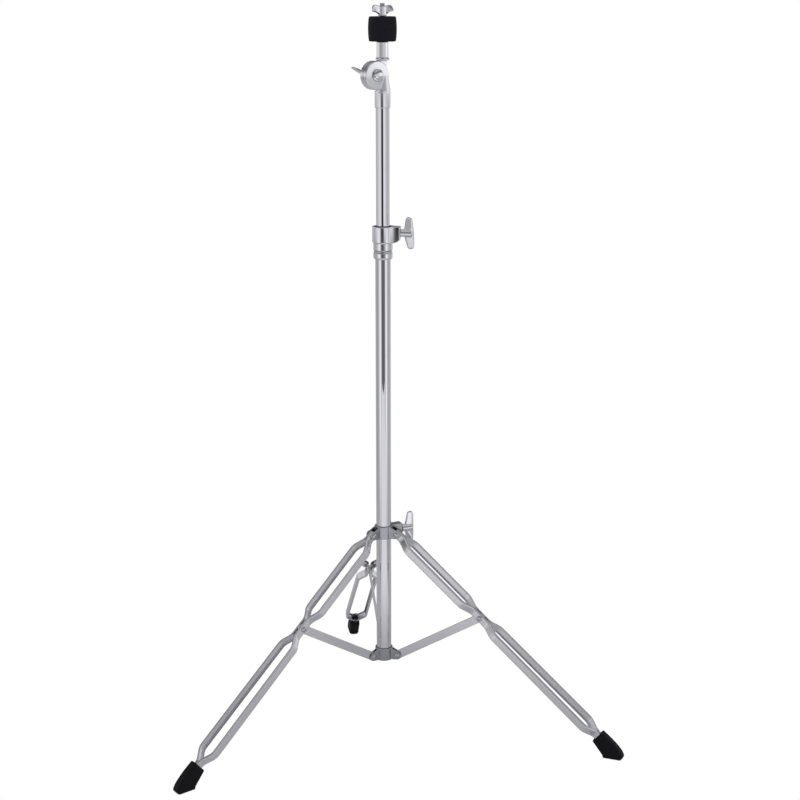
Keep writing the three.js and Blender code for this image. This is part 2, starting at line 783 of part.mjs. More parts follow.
// The upper half: a disc, half a neck, and the post that the cymbal seat stands on.
function tilterHead() {
  const neck = tilterArm(-1, headCollarBase + restGap, postRadius);
  const post = turned([
    [0, headCollarBase],
    [headCollarRadius, headCollarBase],
    [headCollarRadius, headCollarBase + headCollarHeight / 2],
    [postRadius, headCollarBase + headCollarHeight],
    [postRadius, postTop],
    [sleeveFlangeRadius + seatClearance, postTop],
    [sleeveFlangeRadius + seatClearance, sleeveSeat],
    [studRadius + seatClearance, sleeveSeat],
    [studRadius + seatClearance, postTop - studDepth - restGap],
    [0, postTop - studDepth - restGap],
  ]);
  const disc = tilterDisc(-1, headDiscRim);
  const whole = join(neck, solid(post), solid(disc));
  return piece("tilter_head", cut(whole, tilterBoltHole()), castChrome);
}

// The hinge bolt: a domed head on the base's disc, its thread through to the wing nut.
function tilterBolt() {
  const face = discGap / 2 + discThickness + restGap;
  const far = -face - wingNeck - wingDepth;
  const [shoulderRadiusShare, shoulderHeightShare] = boltShoulderShares;
  const profile = [
    [0, far],
    [boltRadius, far],
    [boltRadius, face],
    [boltHeadRadius, face],
    [boltHeadRadius, face + boltHeadHeight / 2],
    [boltHeadRadius * shoulderRadiusShare, face + boltHeadHeight * shoulderHeightShare],
    [boltHeadRadius * boltCrownShare, face + boltHeadHeight],
    [0, face + boltHeadHeight],
  ];
  const bolt = alongX(turned(profile));
  return piece("tilter_bolt", solid(bolt.translate(0, -pivotOffset, tilterPivotHeight)), castChrome);
}

function tilterWingNut() {
  const reach = wingNeck + wingDepth + cutOverrun;
  const thread = solid(alongX(rod(boltRadius + seatClearance, -cutOverrun, reach, smallSides)));
  const mesh = piece("tilter_wing_nut", cut(wings(), thread), castChrome);
  const seat = discGap / 2 + discThickness + restGap;
  mesh.position.set(-seat, -pivotOffset, tilterPivotHeight);
  mesh.rotation.set(radians(tilterWingTurn), 0, Math.PI);
  return mesh;
}

// Cymbal seat

function stud() {
  const base = postTop - studDepth;
  const profile = [
    [0, base],
    [studRadius, base],
    [studRadius, studTop - studChamfer],
    [studRadius - studChamfer, studTop],
    [0, studTop],
  ];
  return piece("cymbal_stud", solid(turned(profile, smallSides)), steel);
}

// The sleeve's flange lies in a recess in the post's top, under the lower felt.
function cymbalSleeve() {
  const inner = studRadius + slideClearance;
  const base = sleeveSeat + restGap;
  const top = topNutBase - sleeveShortfall;
  const profile = [
    [inner, base],
    [sleeveFlangeRadius, base],
    [sleeveFlangeRadius, base + sleeveFlange],
    [sleeveRadius, base + sleeveFlange],
    [sleeveRadius, top],
    [inner, top],
  ];
  return piece("cymbal_sleeve", solid(turned(profile, smallSides)), nylon);
}

// A felt washer. The two together are barrel-shaped: soft at their outer ends, crisp where they meet.
function feltWasher(name, base, lowEdge, highEdge) {
  const bore = sleeveRadius + slideClearance;
  const low = base + restGap;
  const high = base + feltThickness;
  const lowRadius = feltRadius - feltCrown * (lowEdge / feltEdge);
  const highRadius = feltRadius - feltCrown * (highEdge / feltEdge);
  const middleRadius = feltRadius - feltCrown * feltMiddleCrownShare;
  const profile = [
    [bore, low],
    [lowRadius - lowEdge, low],
    [lowRadius, low + lowEdge],
    [middleRadius, (low + high) / 2],
    [highRadius, high - highEdge],
    [highRadius - highEdge, high],
    [bore, high],
  ];
  return piece(name, solid(turned(profile)), felt);
}

// The small wing nut on top. Its two wings rise as they run out.
function topWingNut() {
  const shape = new THREE.Shape();
  const high = topWingRise;
  const low = high - topWingTip;
  const belly = topWingRadius * topWingBellyShare;
  const shoulder = topWingRadius * topWingShoulderShare;
  shape.moveTo(-topWingRadius, low);
  shape.quadraticCurveTo(-belly, low, -topHubRadius, topWingRoot);
  shape.lineTo(topHubRadius, topWingRoot);
  shape.quadraticCurveTo(belly, low, topWingRadius, low);
  shape.quadraticCurveTo(topWingRadius, high, shoulder, high);
  shape.quadraticCurveTo(topWingRadius / 2, high, topHubRadius, topHubHeight);
  shape.lineTo(-topHubRadius, topHubHeight);
  shape.quadraticCurveTo(-topWingRadius / 2, high, -shoulder, high);
  shape.quadraticCurveTo(-topWingRadius, high, -topWingRadius, low);
  const wingPlate = solid(upright(shape, -topWingThickness / 2, topWingThickness / 2));
  const hub = solid(turned([
    [0, 0],
    [topHubRadius * topHubFlareShare, 0],
    [topHubRadius, topWingRoot],
    [topHubRadius, topHubHeight],
    [0, topHubHeight],
  ], smallSides));
  const thread = solid(rod(studRadius + seatClearance, -cutOverrun, topWingRise + cutOverrun, smallSides));
  const mesh = piece("top_wing_nut", cut(join(hub, wingPlate), thread), castChrome);
  mesh.position.z = topNutBase + restGap;
  return turnedTo(topWingAzimuth, mesh);
}

// The whole stand, on the tube's axis

const stand = new THREE.Group();
const lockEnd = collarRadius + legLockReach;
const clampEnd = clampRadius + clampLugReach;
stand.add(lowerTube(), lowerCollar(), legCollar(), heightClamp(), clampBush(), upperTube(), tubeGuide());
stand.add(wallPin("lower_collar_pin", collarRadius, collarPinAzimuth, lowerCollarCentre));
stand.add(wallPin("height_clamp_pin", clampSleeveRadius, clampPinAzimuth, clampPinHeight));
const legLock = {
  azimuth: legLockAzimuth,
  height: legCollarCentre,
  lugEnd: lockEnd,
  turn: legWingTurn,
};
const clampLock = {
  azimuth: clampLugAzimuth,
  height: clampScrewHeight,
  lugEnd: clampEnd,
  turn: clampWingTurn,
};
stand.add(wingBolt("leg_lock_wing_bolt", lowerTubeRadius, legLock));
stand.add(wingBolt("clamp_wing_bolt", upperTubeRadius, clampLock));
legAzimuths.forEach((azimuth, index) => {
  const number = index + 1;
  stand.add(leg(number, azimuth), stay(number, azimuth));
  stand.add(pivotRivet(`leg_rivet_${number}`, azimuth, legEarGap, legPivotHeight));
  stand.add(pivotRivet(`stay_rivet_${number}`, azimuth, stayEarGap, stayPivotHeight));
});
stand.add(tilterBase());
stand.add(turnedTo(tilterAzimuth, tilterPin(), tilterHead(), tilterBolt(), tilterWingNut()));
stand.add(stud(), cymbalSleeve(), topWingNut());
stand.add(feltWasher("lower_felt", lowerFeltBase, feltEdge, feltMeetingEdge));
stand.add(feltWasher("upper_felt", upperFeltBase, feltMeetingEdge, feltEdge));

// The origin is the middle of the stand's footprint, on the floor.
const footprint = new THREE.Box3().setFromObject(stand).getCenter(new THREE.Vector3());
stand.position.set(-footprint.x, -footprint.y, 0);

const cymbalStand = new THREE.Group();
cymbalStand.add(stand);

export default cymbalStand;
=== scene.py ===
import json
import math

import bmesh
import bpy
from mathutils import Matrix, Vector, noise


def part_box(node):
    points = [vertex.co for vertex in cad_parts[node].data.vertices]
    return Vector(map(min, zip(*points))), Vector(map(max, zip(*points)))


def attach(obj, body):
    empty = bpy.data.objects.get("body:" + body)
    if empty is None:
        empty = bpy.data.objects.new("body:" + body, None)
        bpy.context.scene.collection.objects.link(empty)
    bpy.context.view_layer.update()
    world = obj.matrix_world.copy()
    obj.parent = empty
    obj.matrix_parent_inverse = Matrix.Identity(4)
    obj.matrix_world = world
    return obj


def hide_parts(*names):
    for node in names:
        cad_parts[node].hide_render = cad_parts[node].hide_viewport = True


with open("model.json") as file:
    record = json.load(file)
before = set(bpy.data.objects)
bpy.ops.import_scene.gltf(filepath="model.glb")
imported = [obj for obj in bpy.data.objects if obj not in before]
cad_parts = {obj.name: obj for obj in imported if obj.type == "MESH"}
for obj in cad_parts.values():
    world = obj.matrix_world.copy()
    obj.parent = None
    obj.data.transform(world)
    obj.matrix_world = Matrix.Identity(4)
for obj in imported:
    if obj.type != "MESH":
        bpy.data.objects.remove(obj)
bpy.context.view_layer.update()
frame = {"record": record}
record = frame["record"]
nodeBody = {node: body for body, nodes in record["behaviour"]["bodies"].items() for node in nodes}

# Shapes are drawn in millimetres and brought to metres when they are placed.
mm = 0.001
deg = math.radians
tiny = 1e-6
play = 0.3  # between parts that move
snug = 0.15  # between parts that stay
past = 2.0  # how far a bore runs out of the face that it opens


# Places read from the frame


def shift(x, y, z):
    return Matrix.Translation((x, y, z))


def spin(angle, axis="Z"):
    return Matrix.Rotation(deg(angle), 4, axis)


toX = spin(90, "Y")
toY = spin(-90, "X")
standUp = spin(90, "X")


def middleOf(*nodes):
    corners = [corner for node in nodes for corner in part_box(node)]
    low = Vector([min(corner[i] for corner in corners) for i in range(3)])
    high = Vector([max(corner[i] for corner in corners) for i in range(3)])
    return (low + high) / 2 / mm


def heightsOf(node):
    low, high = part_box(node)
    return low.z / mm, high.z / mm


tubeAxis = middleOf("lower_tube")


# The frame of something that faces outwards from the tube: X out, Y across, Z up.
def facing(azimuth, height=0.0):
    return shift(tubeAxis.x, tubeAxis.y, height) @ spin(azimuth)


def legAzimuth(number):
    out = middleOf(f"leg_rivet_{number}") - tubeAxis
    return math.degrees(math.atan2(out.y, out.x))


def acrossLeg(number):
    return spin(legAzimuth(number)).to_3x3() @ Vector((0, 1, 0))


def bracePoint(number):
    return middleOf(f"leg_{number}_brace_rivet_left", f"leg_{number}_brace_rivet_right")


def frameAt(point, *axes):
    return Matrix.Translation(point) @ Matrix(axes).transposed().to_4x4()


# The frame of a leg: X down the leg from its pivot, Y across, Z square to the leg.
def legFrame(number):
    pivot = middleOf(f"leg_rivet_{number}")
    along = (bracePoint(number) - pivot).normalized()
    across = acrossLeg(number)
    return frameAt(pivot, along, across, along.cross(across))


# Mesh tools


def meshOf(verts, faces):
    mesh = bpy.data.meshes.new("work")
    mesh.from_pydata([tuple(vert) for vert in verts], [], faces)
    return mesh


def moved(mesh, *matrices):
    for matrix in matrices:
        mesh.transform(matrix)
        if matrix.determinant() < 0:
            mesh.flip_normals()
    return mesh


def joined(meshes):
    whole = bmesh.new()
    for mesh in meshes:
        whole.from_mesh(mesh)
    result = bpy.data.meshes.new("work")
    whole.to_mesh(result)
    whole.free()
    return result


def newObject(name, data):
    item = bpy.data.objects.new(name, data)
    bpy.context.scene.collection.objects.link(item)
    return item


# Runs modifiers on a mesh and gives back the mesh that they make.
def reshaped(mesh, *steps):
    worker = newObject("work", mesh)
    for kind, settings in steps:
        modifier = worker.modifiers.new(kind, kind)
        for key, value in settings.items():
            setattr(modifier, key, value)
    graph = bpy.context.evaluated_depsgraph_get()
    result = bpy.data.meshes.new_from_object(worker.evaluated_get(graph))
    bpy.data.objects.remove(worker)
    return result


def combined(mesh, other, operation):
    tool = newObject("tool", other)
    result = reshaped(mesh, ("BOOLEAN", {"operation": operation, "solver": "EXACT", "object": tool}))
    bpy.data.objects.remove(tool)
    return result


# A casting: solids melted into one skin with soft corners, then bored.
def cast(look, solids, bores=()):
    skin = ("REMESH", {"mode": "VOXEL", "voxel_size": look["voxel"]})
    soften = ("SMOOTH", {"factor": 0.5, "iterations": look["rounds"]})
    mesh = reshaped(joined(solids), skin, soften)
    for bore in bores:
        mesh = combined(mesh, bore, "DIFFERENCE")
    return mesh


cornerShare = 0.48  # the most that a rounded corner takes of a side
straight = deg(179)


# Points with each corner turned into an arc. A point's own radius can be its third number.
def rounded(points, radius=0.0, steps=4, closed=True):
    result = []
    for i, point in enumerate(points):
        corner = Vector(point[:2])
        back = Vector(points[i - 1][:2]) - corner
        ahead = Vector(points[(i + 1) % len(points)][:2]) - corner
        own = point[2] if len(point) > 2 else radius
        ending = not closed and i in (0, len(points) - 1)
        if ending or own <= 0 or back.angle(ahead) > straight:
            result.append(corner)
            continue
        half = back.angle(ahead) / 2
        setback = min(own / math.tan(half), cornerShare * back.length, cornerShare * ahead.length)
        own = setback * math.tan(half)
        inward = (back.normalized() + ahead.normalized()).normalized()
        centre = corner + inward * (own / math.sin(half))
        start = corner + back.normalized() * setback - centre
        end = corner + ahead.normalized() * setback - centre
        sweep = math.atan2(start.cross(end), start.dot(end))
        for step in range(steps + 1):
            result.append(centre + Matrix.Rotation(sweep * step / steps, 2) @ start)
    return result


# Point k of a ring with so many steps.
def around(radius, height, k, steps):
    angle = 2 * math.pi * k / steps
    return radius * math.cos(angle), radius * math.sin(angle), height


# A solid turned about Z from radius and height points, counted anticlockwise and closed.
def turned(profile, steps=72):
    verts, rings, faces = [], [], []
    for radius, height in profile:
        count = steps if radius > tiny else 1
        rings.append([len(verts) + k for k in range(count)])
        verts += [around(radius, height, k, steps) for k in range(count)]
    for lower, upper in zip(rings, rings[1:] + rings[:1]):
        if len(lower) == 1 and len(upper) == 1:
            continue
        for k in range(steps):
            ahead = (k + 1) % steps
            corners = [lower[k % len(lower)], lower[ahead % len(lower)]]
            corners += [upper[ahead % len(upper)], upper[k % len(upper)]]
            faces.append(list(dict.fromkeys(corners)))
    return meshOf(verts, faces)


def lathed(profile, edge=0.0, steps=72, arcs=4):
    return turned(rounded(profile, edge, arcs), steps)


def rod(radius, low, high, edge=0.0, steps=72):
    return lathed([(0, low, 0), (radius, low), (radius, high), (0, high, 0)], edge, steps)


def pipe(inner, outer, low, high, edge=0.0, steps=72):
    return lathed([(inner, low), (outer, low), (outer, high), (inner, high)], edge, steps)


# A flat outline raised along Z, its rims rounded by edge.
def slab(outline, low, high, edge=0.0, steps=3):
    work = bmesh.new()
    base = work.faces.new([work.verts.new((point[0], point[1], low)) for point in outline])
    grown = bmesh.ops.extrude_face_region(work, geom=[base])
    top = [item for item in grown["geom"] if isinstance(item, bmesh.types.BMVert)]
    bmesh.ops.translate(work, verts=top, vec=(0, 0, high - low))
    bmesh.ops.recalc_face_normals(work, faces=work.faces)
    if edge > 0:
        rims = [e for e in work.edges if abs(e.verts[0].co.z - e.verts[1].co.z) < tiny]
        bmesh.ops.bevel(work, geom=rims, offset=edge, segments=steps, profile=0.5, affect="EDGES")
    mesh = bpy.data.meshes.new("work")
    work.to_mesh(mesh)
    work.free()
    return mesh


# The quads over rows of points that follow each other, each row closed on itself.
def skinOver(rowCount, count, first=0):
    faces = []
    for start in range(first, first + (rowCount - 1) * count, count):
        for k in range(count):
            ahead = (k + 1) % count
            faces.append((start + k, start + ahead, start + count + ahead, start + count + k))
    return faces


def lofted(rows):
    count = len(rows[0])
    last = (len(rows) - 1) * count
    ends = [tuple(range(count))[::-1], tuple(range(last, last + count))]
    return meshOf([vert for row in rows for vert in row], skinOver(len(rows), count) + ends)


def arc(centre, radius, start, end, steps=12):
    angles = [deg(start + (end - start) * step / steps) for step in range(steps + 1)]
    return [(centre[0] + radius * math.cos(a), centre[1] + radius * math.sin(a)) for a in angles]


# Points on a bend from start to end, without the start.
def curve(start, control, end, steps=10):
    points = []
    for step in range(1, steps + 1):
        t = step / steps
        parts = [((1 - t) ** 2, start), (2 * t * (1 - t), control), (t * t, end)]
        points.append(tuple(sum(share * spot[i] for share, spot in parts) for i in range(2)))
    return points


# A rod with a real helical thread from low to high.
def threadedRod(radius, low, high, pitch, depth, steps=48, rowsPerTurn=12):
    rows = int((high - low) / pitch * rowsPerTurn)
    verts = [(0, 0, low)]
    for row in range(rows + 1):
        height = low + (high - low) * row / rows
        fade = min(1, (high - height) / pitch, (height - low) / pitch)
        for k in range(steps):
            tooth = abs(2 * ((height / pitch - k / steps) % 1) - 1)
            verts.append(around(radius - depth * tooth * fade - depth * (1 - fade), height, k, steps))
    verts.append((0, 0, high))
    faces = skinOver(rows + 1, steps, 1)
    last = 1 + rows * steps
    for k in range(steps):
        ahead = (k + 1) % steps
        faces.append((0, 1 + ahead, 1 + k))
        faces.append((last + k, last + ahead, len(verts) - 1))
    return meshOf(verts, faces)


# Puts a finished mesh in the scene in place of its node. Large faces keep their own normals, so that
# long reflections stay straight.
def place(mesh, node, material, matrix, sharp=38):
    moved(mesh, matrix)
    mesh.shade_smooth()
    mesh.set_sharp_from_angle(angle=deg(sharp))
    mesh = reshaped(mesh, ("WEIGHTED_NORMAL", {"keep_sharp": True}))
    mesh.transform(Matrix.Scale(mm, 4))
    words = node.split("_")
    piece = newObject(words[0] + "".join(word.capitalize() for word in words[1:]), mesh)
    mesh.name = piece.name
    mesh.materials.clear()
    mesh.materials.append(bpy.data.materials[material])
    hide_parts(node)
    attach(piece, nodeBody[node])
    return piece


# Nodes, each made with its settings. A value is a constant or the output of another node.


def addNode(tree, kind, values=(), **settings):
    node = tree.nodes.new("ShaderNode" + kind)
    for key, value in settings.items():
        setattr(node, key, value)
    for socket, value in dict(values).items():
        if isinstance(value, bpy.types.NodeSocket):
            tree.links.new(value, node.inputs[socket])
        else:
            node.inputs[socket].default_value = value
    return node


def outOf(tree, kind, values=(), **settings):
    return addNode(tree, kind, values, **settings).outputs[0]


def mathOf(tree, operation, first, second):
    return outOf(tree, "Math", {0: first, 1: second}, operation=operation)


def mixOf(tree, factor, first, second):
    values = {"Factor": factor, "A": first, "B": second}
    return addNode(tree, "Mix", values, data_type="RGBA").outputs["Result"]


def spanOf(tree, value, low, high, **settings):
    return outOf(tree, "MapRange", {"Value": value, "From Min": low, "From Max": high}, **settings)


def noiseOf(tree, where, scale, **shape):
    return outOf(tree, "TexNoise", {"Vector": where, "Scale": scale, **shape})


# Node groups. Each works in the object's own coordinates.


def newGroup(name, inputs):
    group = bpy.data.node_groups.new(name, "ShaderNodeTree")
    for label, value in inputs.items():
        socket = group.interface.new_socket(name=label, in_out="INPUT", socket_type="NodeSocketFloat")
        socket.default_value = value
    where = addNode(group, "TexCoord").outputs["Object"]
    return group, group.nodes.new("NodeGroupInput").outputs, where


def finishGroup(group, sources):
    for label in sources:
        group.interface.new_socket(name=label, in_out="OUTPUT", socket_type="NodeSocketFloat")
    out = group.nodes.new("NodeGroupOutput")
    for label, source in sources.items():
        group.links.new(source, out.inputs[label])
    return group


# Long fine lines, as polishing leaves them on drawn tube: Stretch is how much longer than wide.
def buildPolishLines():
    group, given, where = newGroup("polishLines", {"Scale": 900.0, "Stretch": 40.0})
    thin = mathOf(group, "DIVIDE", 1.0, given["Stretch"])
    squeeze = outOf(group, "CombineXYZ", {0: 1.0, 1: 1.0, 2: thin})
    drawn = outOf(group, "VectorMath", {0: where, 1: squeeze}, operation="MULTIPLY")
    lines = noiseOf(group, drawn, given["Scale"], Detail=6.0, Roughness=0.62)
    return finishGroup(group, {"Height": lines})


# Soft patches where hands have been. Marks runs from 0, clean, to 1, dulled.
def buildHandMarks():
    group, given, where = newGroup("handMarks", {"Scale": 30.0, "Cover": 0.5})
    broad = noiseOf(group, where, given["Scale"], Detail=5.0, Roughness=0.6, Distortion=0.8)
    start = mathOf(group, "SUBTRACT", 1.0, given["Cover"])
    marks = spanOf(group, broad, start, 0.95, interpolation_type="SMOOTHSTEP")
    return finishGroup(group, {"Marks": marks})


# The slight unevenness of a casting or of pressed strip under its plating.
def buildPlatedSkin():
    group, given, where = newGroup("platedSkin", {"Scale": 500.0, "Pits": 0.2})
    waves = noiseOf(group, where, given["Scale"], Detail=2.0)
    cells = addNode(group, "TexVoronoi", {"Vector": where, "Scale": given["Scale"]}).outputs["Distance"]
    pits = mathOf(group, "MULTIPLY", spanOf(group, cells, 0.0, 0.25), given["Pits"])
    tone = noiseOf(group, where, 14.0, Detail=3.0)
    return finishGroup(group, {"Height": mathOf(group, "ADD", waves, pits), "Tone": tone})


# Pressed wool: a tangle of fibres with paler ends that catch the light.
def buildFeltFibres():
    group, given, where = newGroup("feltFibres", {"Scale": 900.0})
    tangle = noiseOf(group, where, given["Scale"], Detail=8.0, Roughness=0.7, Distortion=2.5)
    coarser = mathOf(group, "MULTIPLY", given["Scale"], 0.55)
    strands = noiseOf(group, where, coarser, Detail=5.0, Distortion=4.0)
    return finishGroup(group, {"Height": tangle, "Fleck": spanOf(group, strands, 0.5, 0.78)})


# Moulded rubber or nylon: a fine even grain and a pale bloom of dust.
def buildMouldGrain():
    group, given, where = newGroup("mouldGrain", {"Scale": 1400.0, "Dust": 0.4})
    grain = noiseOf(group, where, given["Scale"], Detail=3.0, Roughness=0.55)
    cloud = spanOf(group, noiseOf(group, where, 60.0, Detail=6.0), 0.4, 0.8)
    return finishGroup(group, {"Height": grain, "Bloom": mathOf(group, "MULTIPLY", cloud, given["Dust"])})


polishLines = buildPolishLines()
handMarks = buildHandMarks()
platedSkin = buildPlatedSkin()
feltFibres = buildFeltFibres()
mouldGrain = buildMouldGrain()


# Materials. The skin's Height raises the bump, the tone turns the first colour into the second, and
# roughness follows the hand marks. One that has no marks or no tone uses the other for both.

drawnChrome = {
    "skin": (polishLines, {"Scale": 1500.0, "Stretch": 60.0}),
    "marks": {"Scale": 26.0, "Cover": 0.5},
    "colours": ((0.62, 0.622, 0.665, 1), (0.56, 0.562, 0.605, 1)),
    "roughness": (0.03, 0.09),
    "relief": (0.0006, 0.5),
    "constants": {"Metallic": 1.0},
}
plated = {"tone": "Tone", "constants": {"Metallic": 1.0}}
castChrome = {
    **plated,
    "skin": (platedSkin, {"Scale": 300.0, "Pits": 0.12}),
    "marks": {"Scale": 60.0, "Cover": 0.52},
    "colours": ((0.66, 0.662, 0.7, 1), (0.6, 0.602, 0.64, 1)),
    "roughness": (0.05, 0.12),
    "relief": (0.003, 0.3),
}
collarChrome = {
    **plated,
    "skin": (platedSkin, {"Scale": 420.0, "Pits": 0.25}),
    "marks": {"Scale": 70.0, "Cover": 0.55},
    "colours": ((0.42, 0.422, 0.46, 1), (0.3, 0.302, 0.335, 1)),
    "roughness": (0.16, 0.32),
    "relief": (0.01, 0.4),
}
stripChrome = {
    **plated,
    "skin": (platedSkin, {"Scale": 160.0, "Pits": 0.06}),
    "marks": {"Scale": 34.0, "Cover": 0.55},
    "colours": ((0.66, 0.662, 0.7, 1), (0.6, 0.602, 0.64, 1)),
    "roughness": (0.28, 0.4),
    "relief": (0.002, 0.25),
}
platedSteel = {
    **plated,
    "skin": (platedSkin, {"Scale": 900.0, "Pits": 0.3}),
    "marks": {"Scale": 120.0, "Cover": 0.6},
    "colours": ((0.5, 0.5, 0.53, 1), (0.36, 0.36, 0.39, 1)),
    "roughness": (0.2, 0.38),
    "relief": (0.006, 0.5),
}
mouldedRubber = {
    "skin": (mouldGrain, {"Scale": 1500.0, "Dust": 0.5}),
    "tone": "Bloom",
    "colours": ((0.004, 0.004, 0.005, 1), (0.009, 0.009, 0.011, 1)),
    "roughness": (0.55, 0.8),
    "relief": (0.05, 0.5),
    "constants": {"Specular IOR Level": 0.12},
}
mouldedNylon = {
    "skin": (mouldGrain, {"Scale": 900.0, "Dust": 0.25}),
    "tone": "Bloom",
    "colours": ((0.012, 0.012, 0.014, 1), (0.025, 0.025, 0.028, 1)),
    "roughness": (0.32, 0.5),
    "relief": (0.02, 0.4),
    "constants": {"Specular IOR Level": 0.45},
}
pressedFelt = {
    "skin": (feltFibres, {"Scale": 1100.0}),
    "tone": "Fleck",
    "colours": ((0.0075, 0.0075, 0.0115, 1), (0.021, 0.021, 0.028, 1)),
    "roughness": (0.85, 1.0),
    "relief": (0.35, 0.9),
    "constants": {"Sheen Weight": 0.04, "Sheen Roughness": 0.5, "Specular IOR Level": 0.08},
}


def newMaterial(name, constants):
    material = bpy.data.materials.new(name)
    material.use_nodes = True
    shader = material.node_tree.nodes["Principled BSDF"]
    for socket, value in constants.items():
        shader.inputs[socket].default_value = value
    return material, material.node_tree, shader


def buildMaterial(name, look):
    material, tree, shader = newMaterial(name, look["constants"])
    group, values = look["skin"]
    skin = addNode(tree, "Group", values, node_tree=group).outputs
    if "marks" in look:
        marks = addNode(tree, "Group", look["marks"], node_tree=handMarks).outputs["Marks"]
    else:
        marks = skin[look["tone"]]
    tone = skin[look["tone"]] if "tone" in look else marks
    low, high = look["roughness"]
    distance, strength = look["relief"]
    raised = {"Height": skin["Height"], "Distance": distance * mm, "Strength": strength}
    sources = {
        "Base Color": mixOf(tree, tone, *look["colours"]),
        "Roughness": outOf(tree, "MapRange", {"Value": marks, "To Min": low, "To Max": high}),
        "Normal": outOf(tree, "Bump", raised),
    }
    for socket, source in sources.items():
        tree.links.new(source, shader.inputs[socket])


buildMaterial("drawnChrome", drawnChrome)
buildMaterial("castChrome", castChrome)
buildMaterial("collarChrome", collarChrome)
buildMaterial("stripChrome", stripChrome)
buildMaterial("platedSteel", platedSteel)
buildMaterial("mouldedRubber", mouldedRubber)
buildMaterial("mouldedNylon", mouldedNylon)
buildMaterial("pressedFelt", pressedFelt)
print("materials built:", len(bpy.data.materials))


# Tubes

lowerTube = {"wall": 1.2, "lip": 0.45, "steps": 96}
upperTube = {"wall": 1.2, "lip": 0.45, "steps": 96}


def buildTube(node, look):
    low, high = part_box(node)
    outer = (high.x - low.x) / 2 / mm
    mesh = pipe(outer - look["wall"], outer, *heightsOf(node), look["lip"], look["steps"])
    place(mesh, node, "drawnChrome", facing(0))
    return outer


lowerRadius = buildTube("lower_tube", lowerTube)
upperRadius = buildTube("upper_tube", upperTube)

tubeGuide = {"spigot": 9.6, "bore": 4.8, "edge": 0.6}


def buildTubeGuide():
    look = tubeGuide
    bottom, top = heightsOf("tube_guide")
    outer = lowerRadius - lowerTube["wall"] - snug
    shoulder = heightsOf("upper_tube")[0] - play
    profile = [
        (look["bore"], bottom),
        (outer, bottom),
        (outer, shoulder),
        (look["spigot"], shoulder, 0),
        (look["spigot"], top),
        (look["bore"], top),
    ]
    place(lathed(profile, look["edge"]), "tube_guide", "mouldedNylon", facing(0))


buildTubeGuide()
print("tubes built")


# Rivets and pins

rivet = {
    "radius": 2.5,
    "head": 4.8,
    "rise": 1.9,
    "waist": 0.28,
    "dome": 0.82,
    "neck": 0.01,
    "steps": 40,
}
braceRivet = {"start": 1.55, "reach": 8.2}
footRivet = {"half": 5.05, "edge": 0.4}


def domedHead(look, height, way):
    waist = height + way * look["rise"] * look["waist"]
    crown = height + way * look["rise"]
    dome = curve((look["head"], waist), (look["head"] * look["dome"], crown), (0, crown), 8)
    return [(look["head"], height), (look["head"], waist)] + dome


def buildRivet(node, matrix, low, high, lowHead=True):
    look = rivet
    shank, neck = look["radius"], look["neck"]
    bottom = domedHead(look, low, -1)[::-1] if lowHead else [(0, low), (shank, low)]
    profile = bottom + [(shank, low + neck), (shank, high - neck)] + domedHead(look, high, 1)
    place(turned(profile, look["steps"]), node, "platedSteel", matrix, sharp=50)


# A rivet's own length is read from its node, across the leg that it belongs to.
def gripOf(node, azimuth):
    low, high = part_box(node)
    size = (high - low) / mm
    out = Vector((abs(math.cos(deg(azimuth))), abs(math.sin(deg(azimuth)))))
    wide = size.x if out.y > 0.9 else (size.x - 2 * rivet["head"] * out.x) / out.y
    return wide / 2 - rivet["rise"]


def buildRivets():
    for number in (1, 2, 3):
        azimuth = legAzimuth(number)
        turn = spin(azimuth) @ toY
        for node in (f"leg_rivet_{number}", f"stay_rivet_{number}"):
            grip = gripOf(node, azimuth)
            buildRivet(node, Matrix.Translation(middleOf(node)) @ turn, -grip, grip)
        brace = Matrix.Translation(bracePoint(number)) @ turn
        start, end = braceRivet["start"], braceRivet["reach"] - rivet["rise"]
        buildRivet(f"leg_{number}_brace_rivet_left", brace, start, end, False)
        buildRivet(f"leg_{number}_brace_rivet_right", brace @ spin(180, "X"), start, end, False)
        node = f"leg_{number}_foot_rivet"
        pin = rod(rivet["radius"], -footRivet["half"], footRivet["half"], footRivet["edge"], rivet["steps"])
        place(pin, node, "platedSteel", Matrix.Translation(middleOf(node)) @ turn)


buildRivets()

wallPins = {
    "lower_collar_pin": {"radius": 1.6, "azimuth": 30, "inner": 11.5, "outer": 15.2, "edge": 0.35},
    "height_clamp_pin": {"radius": 1.6, "azimuth": 150, "inner": 11.5, "outer": 15.85, "edge": 0.35},
}
tilterPin = {"radius": 1.5, "reach": 12.5, "bore": 0.7, "edge": 0.25}
pinSteps = 32


def buildPins():
    for node, look in wallPins.items():
        pin = rod(look["radius"], look["inner"], look["outer"], look["edge"], pinSteps)
        place(pin, node, "platedSteel", facing(look["azimuth"], middleOf(node).z) @ toX)
    # A rolled pin, hollow down its middle
    look = tilterPin
    pin = pipe(look["bore"], look["radius"], -look["reach"], look["reach"], look["edge"], pinSteps)
    place(pin, "tilter_pin", "platedSteel", facing(tilter["azimuth"], middleOf("tilter_pin").z) @ toX)


# Collars

collar = {
    "wall": 2.2,
    "earRadius": 7.5,
    "earThickness": 2.5,
    "pivotRadius": 25.0,
    "earRoot": 0.8,
    "earInset": 0.2,
    "overcut": 0.6,
    "edge": 0.5,
    "voxel": 0.42,
    "rounds": 5,
}
lowerCollar = {"earGap": 3.1, "pivotDrop": 2.0}
legCollar = {
    "earGap": 10.4,
    "pivotDrop": 2.5,
    "azimuth": 16,
    "reach": 18.5,
    "halfWidth": 6.5,
    "taper": 6,
    "corner": 2.4,
}
collarBore = lowerRadius + play
collarRadius = collarBore + collar["wall"]


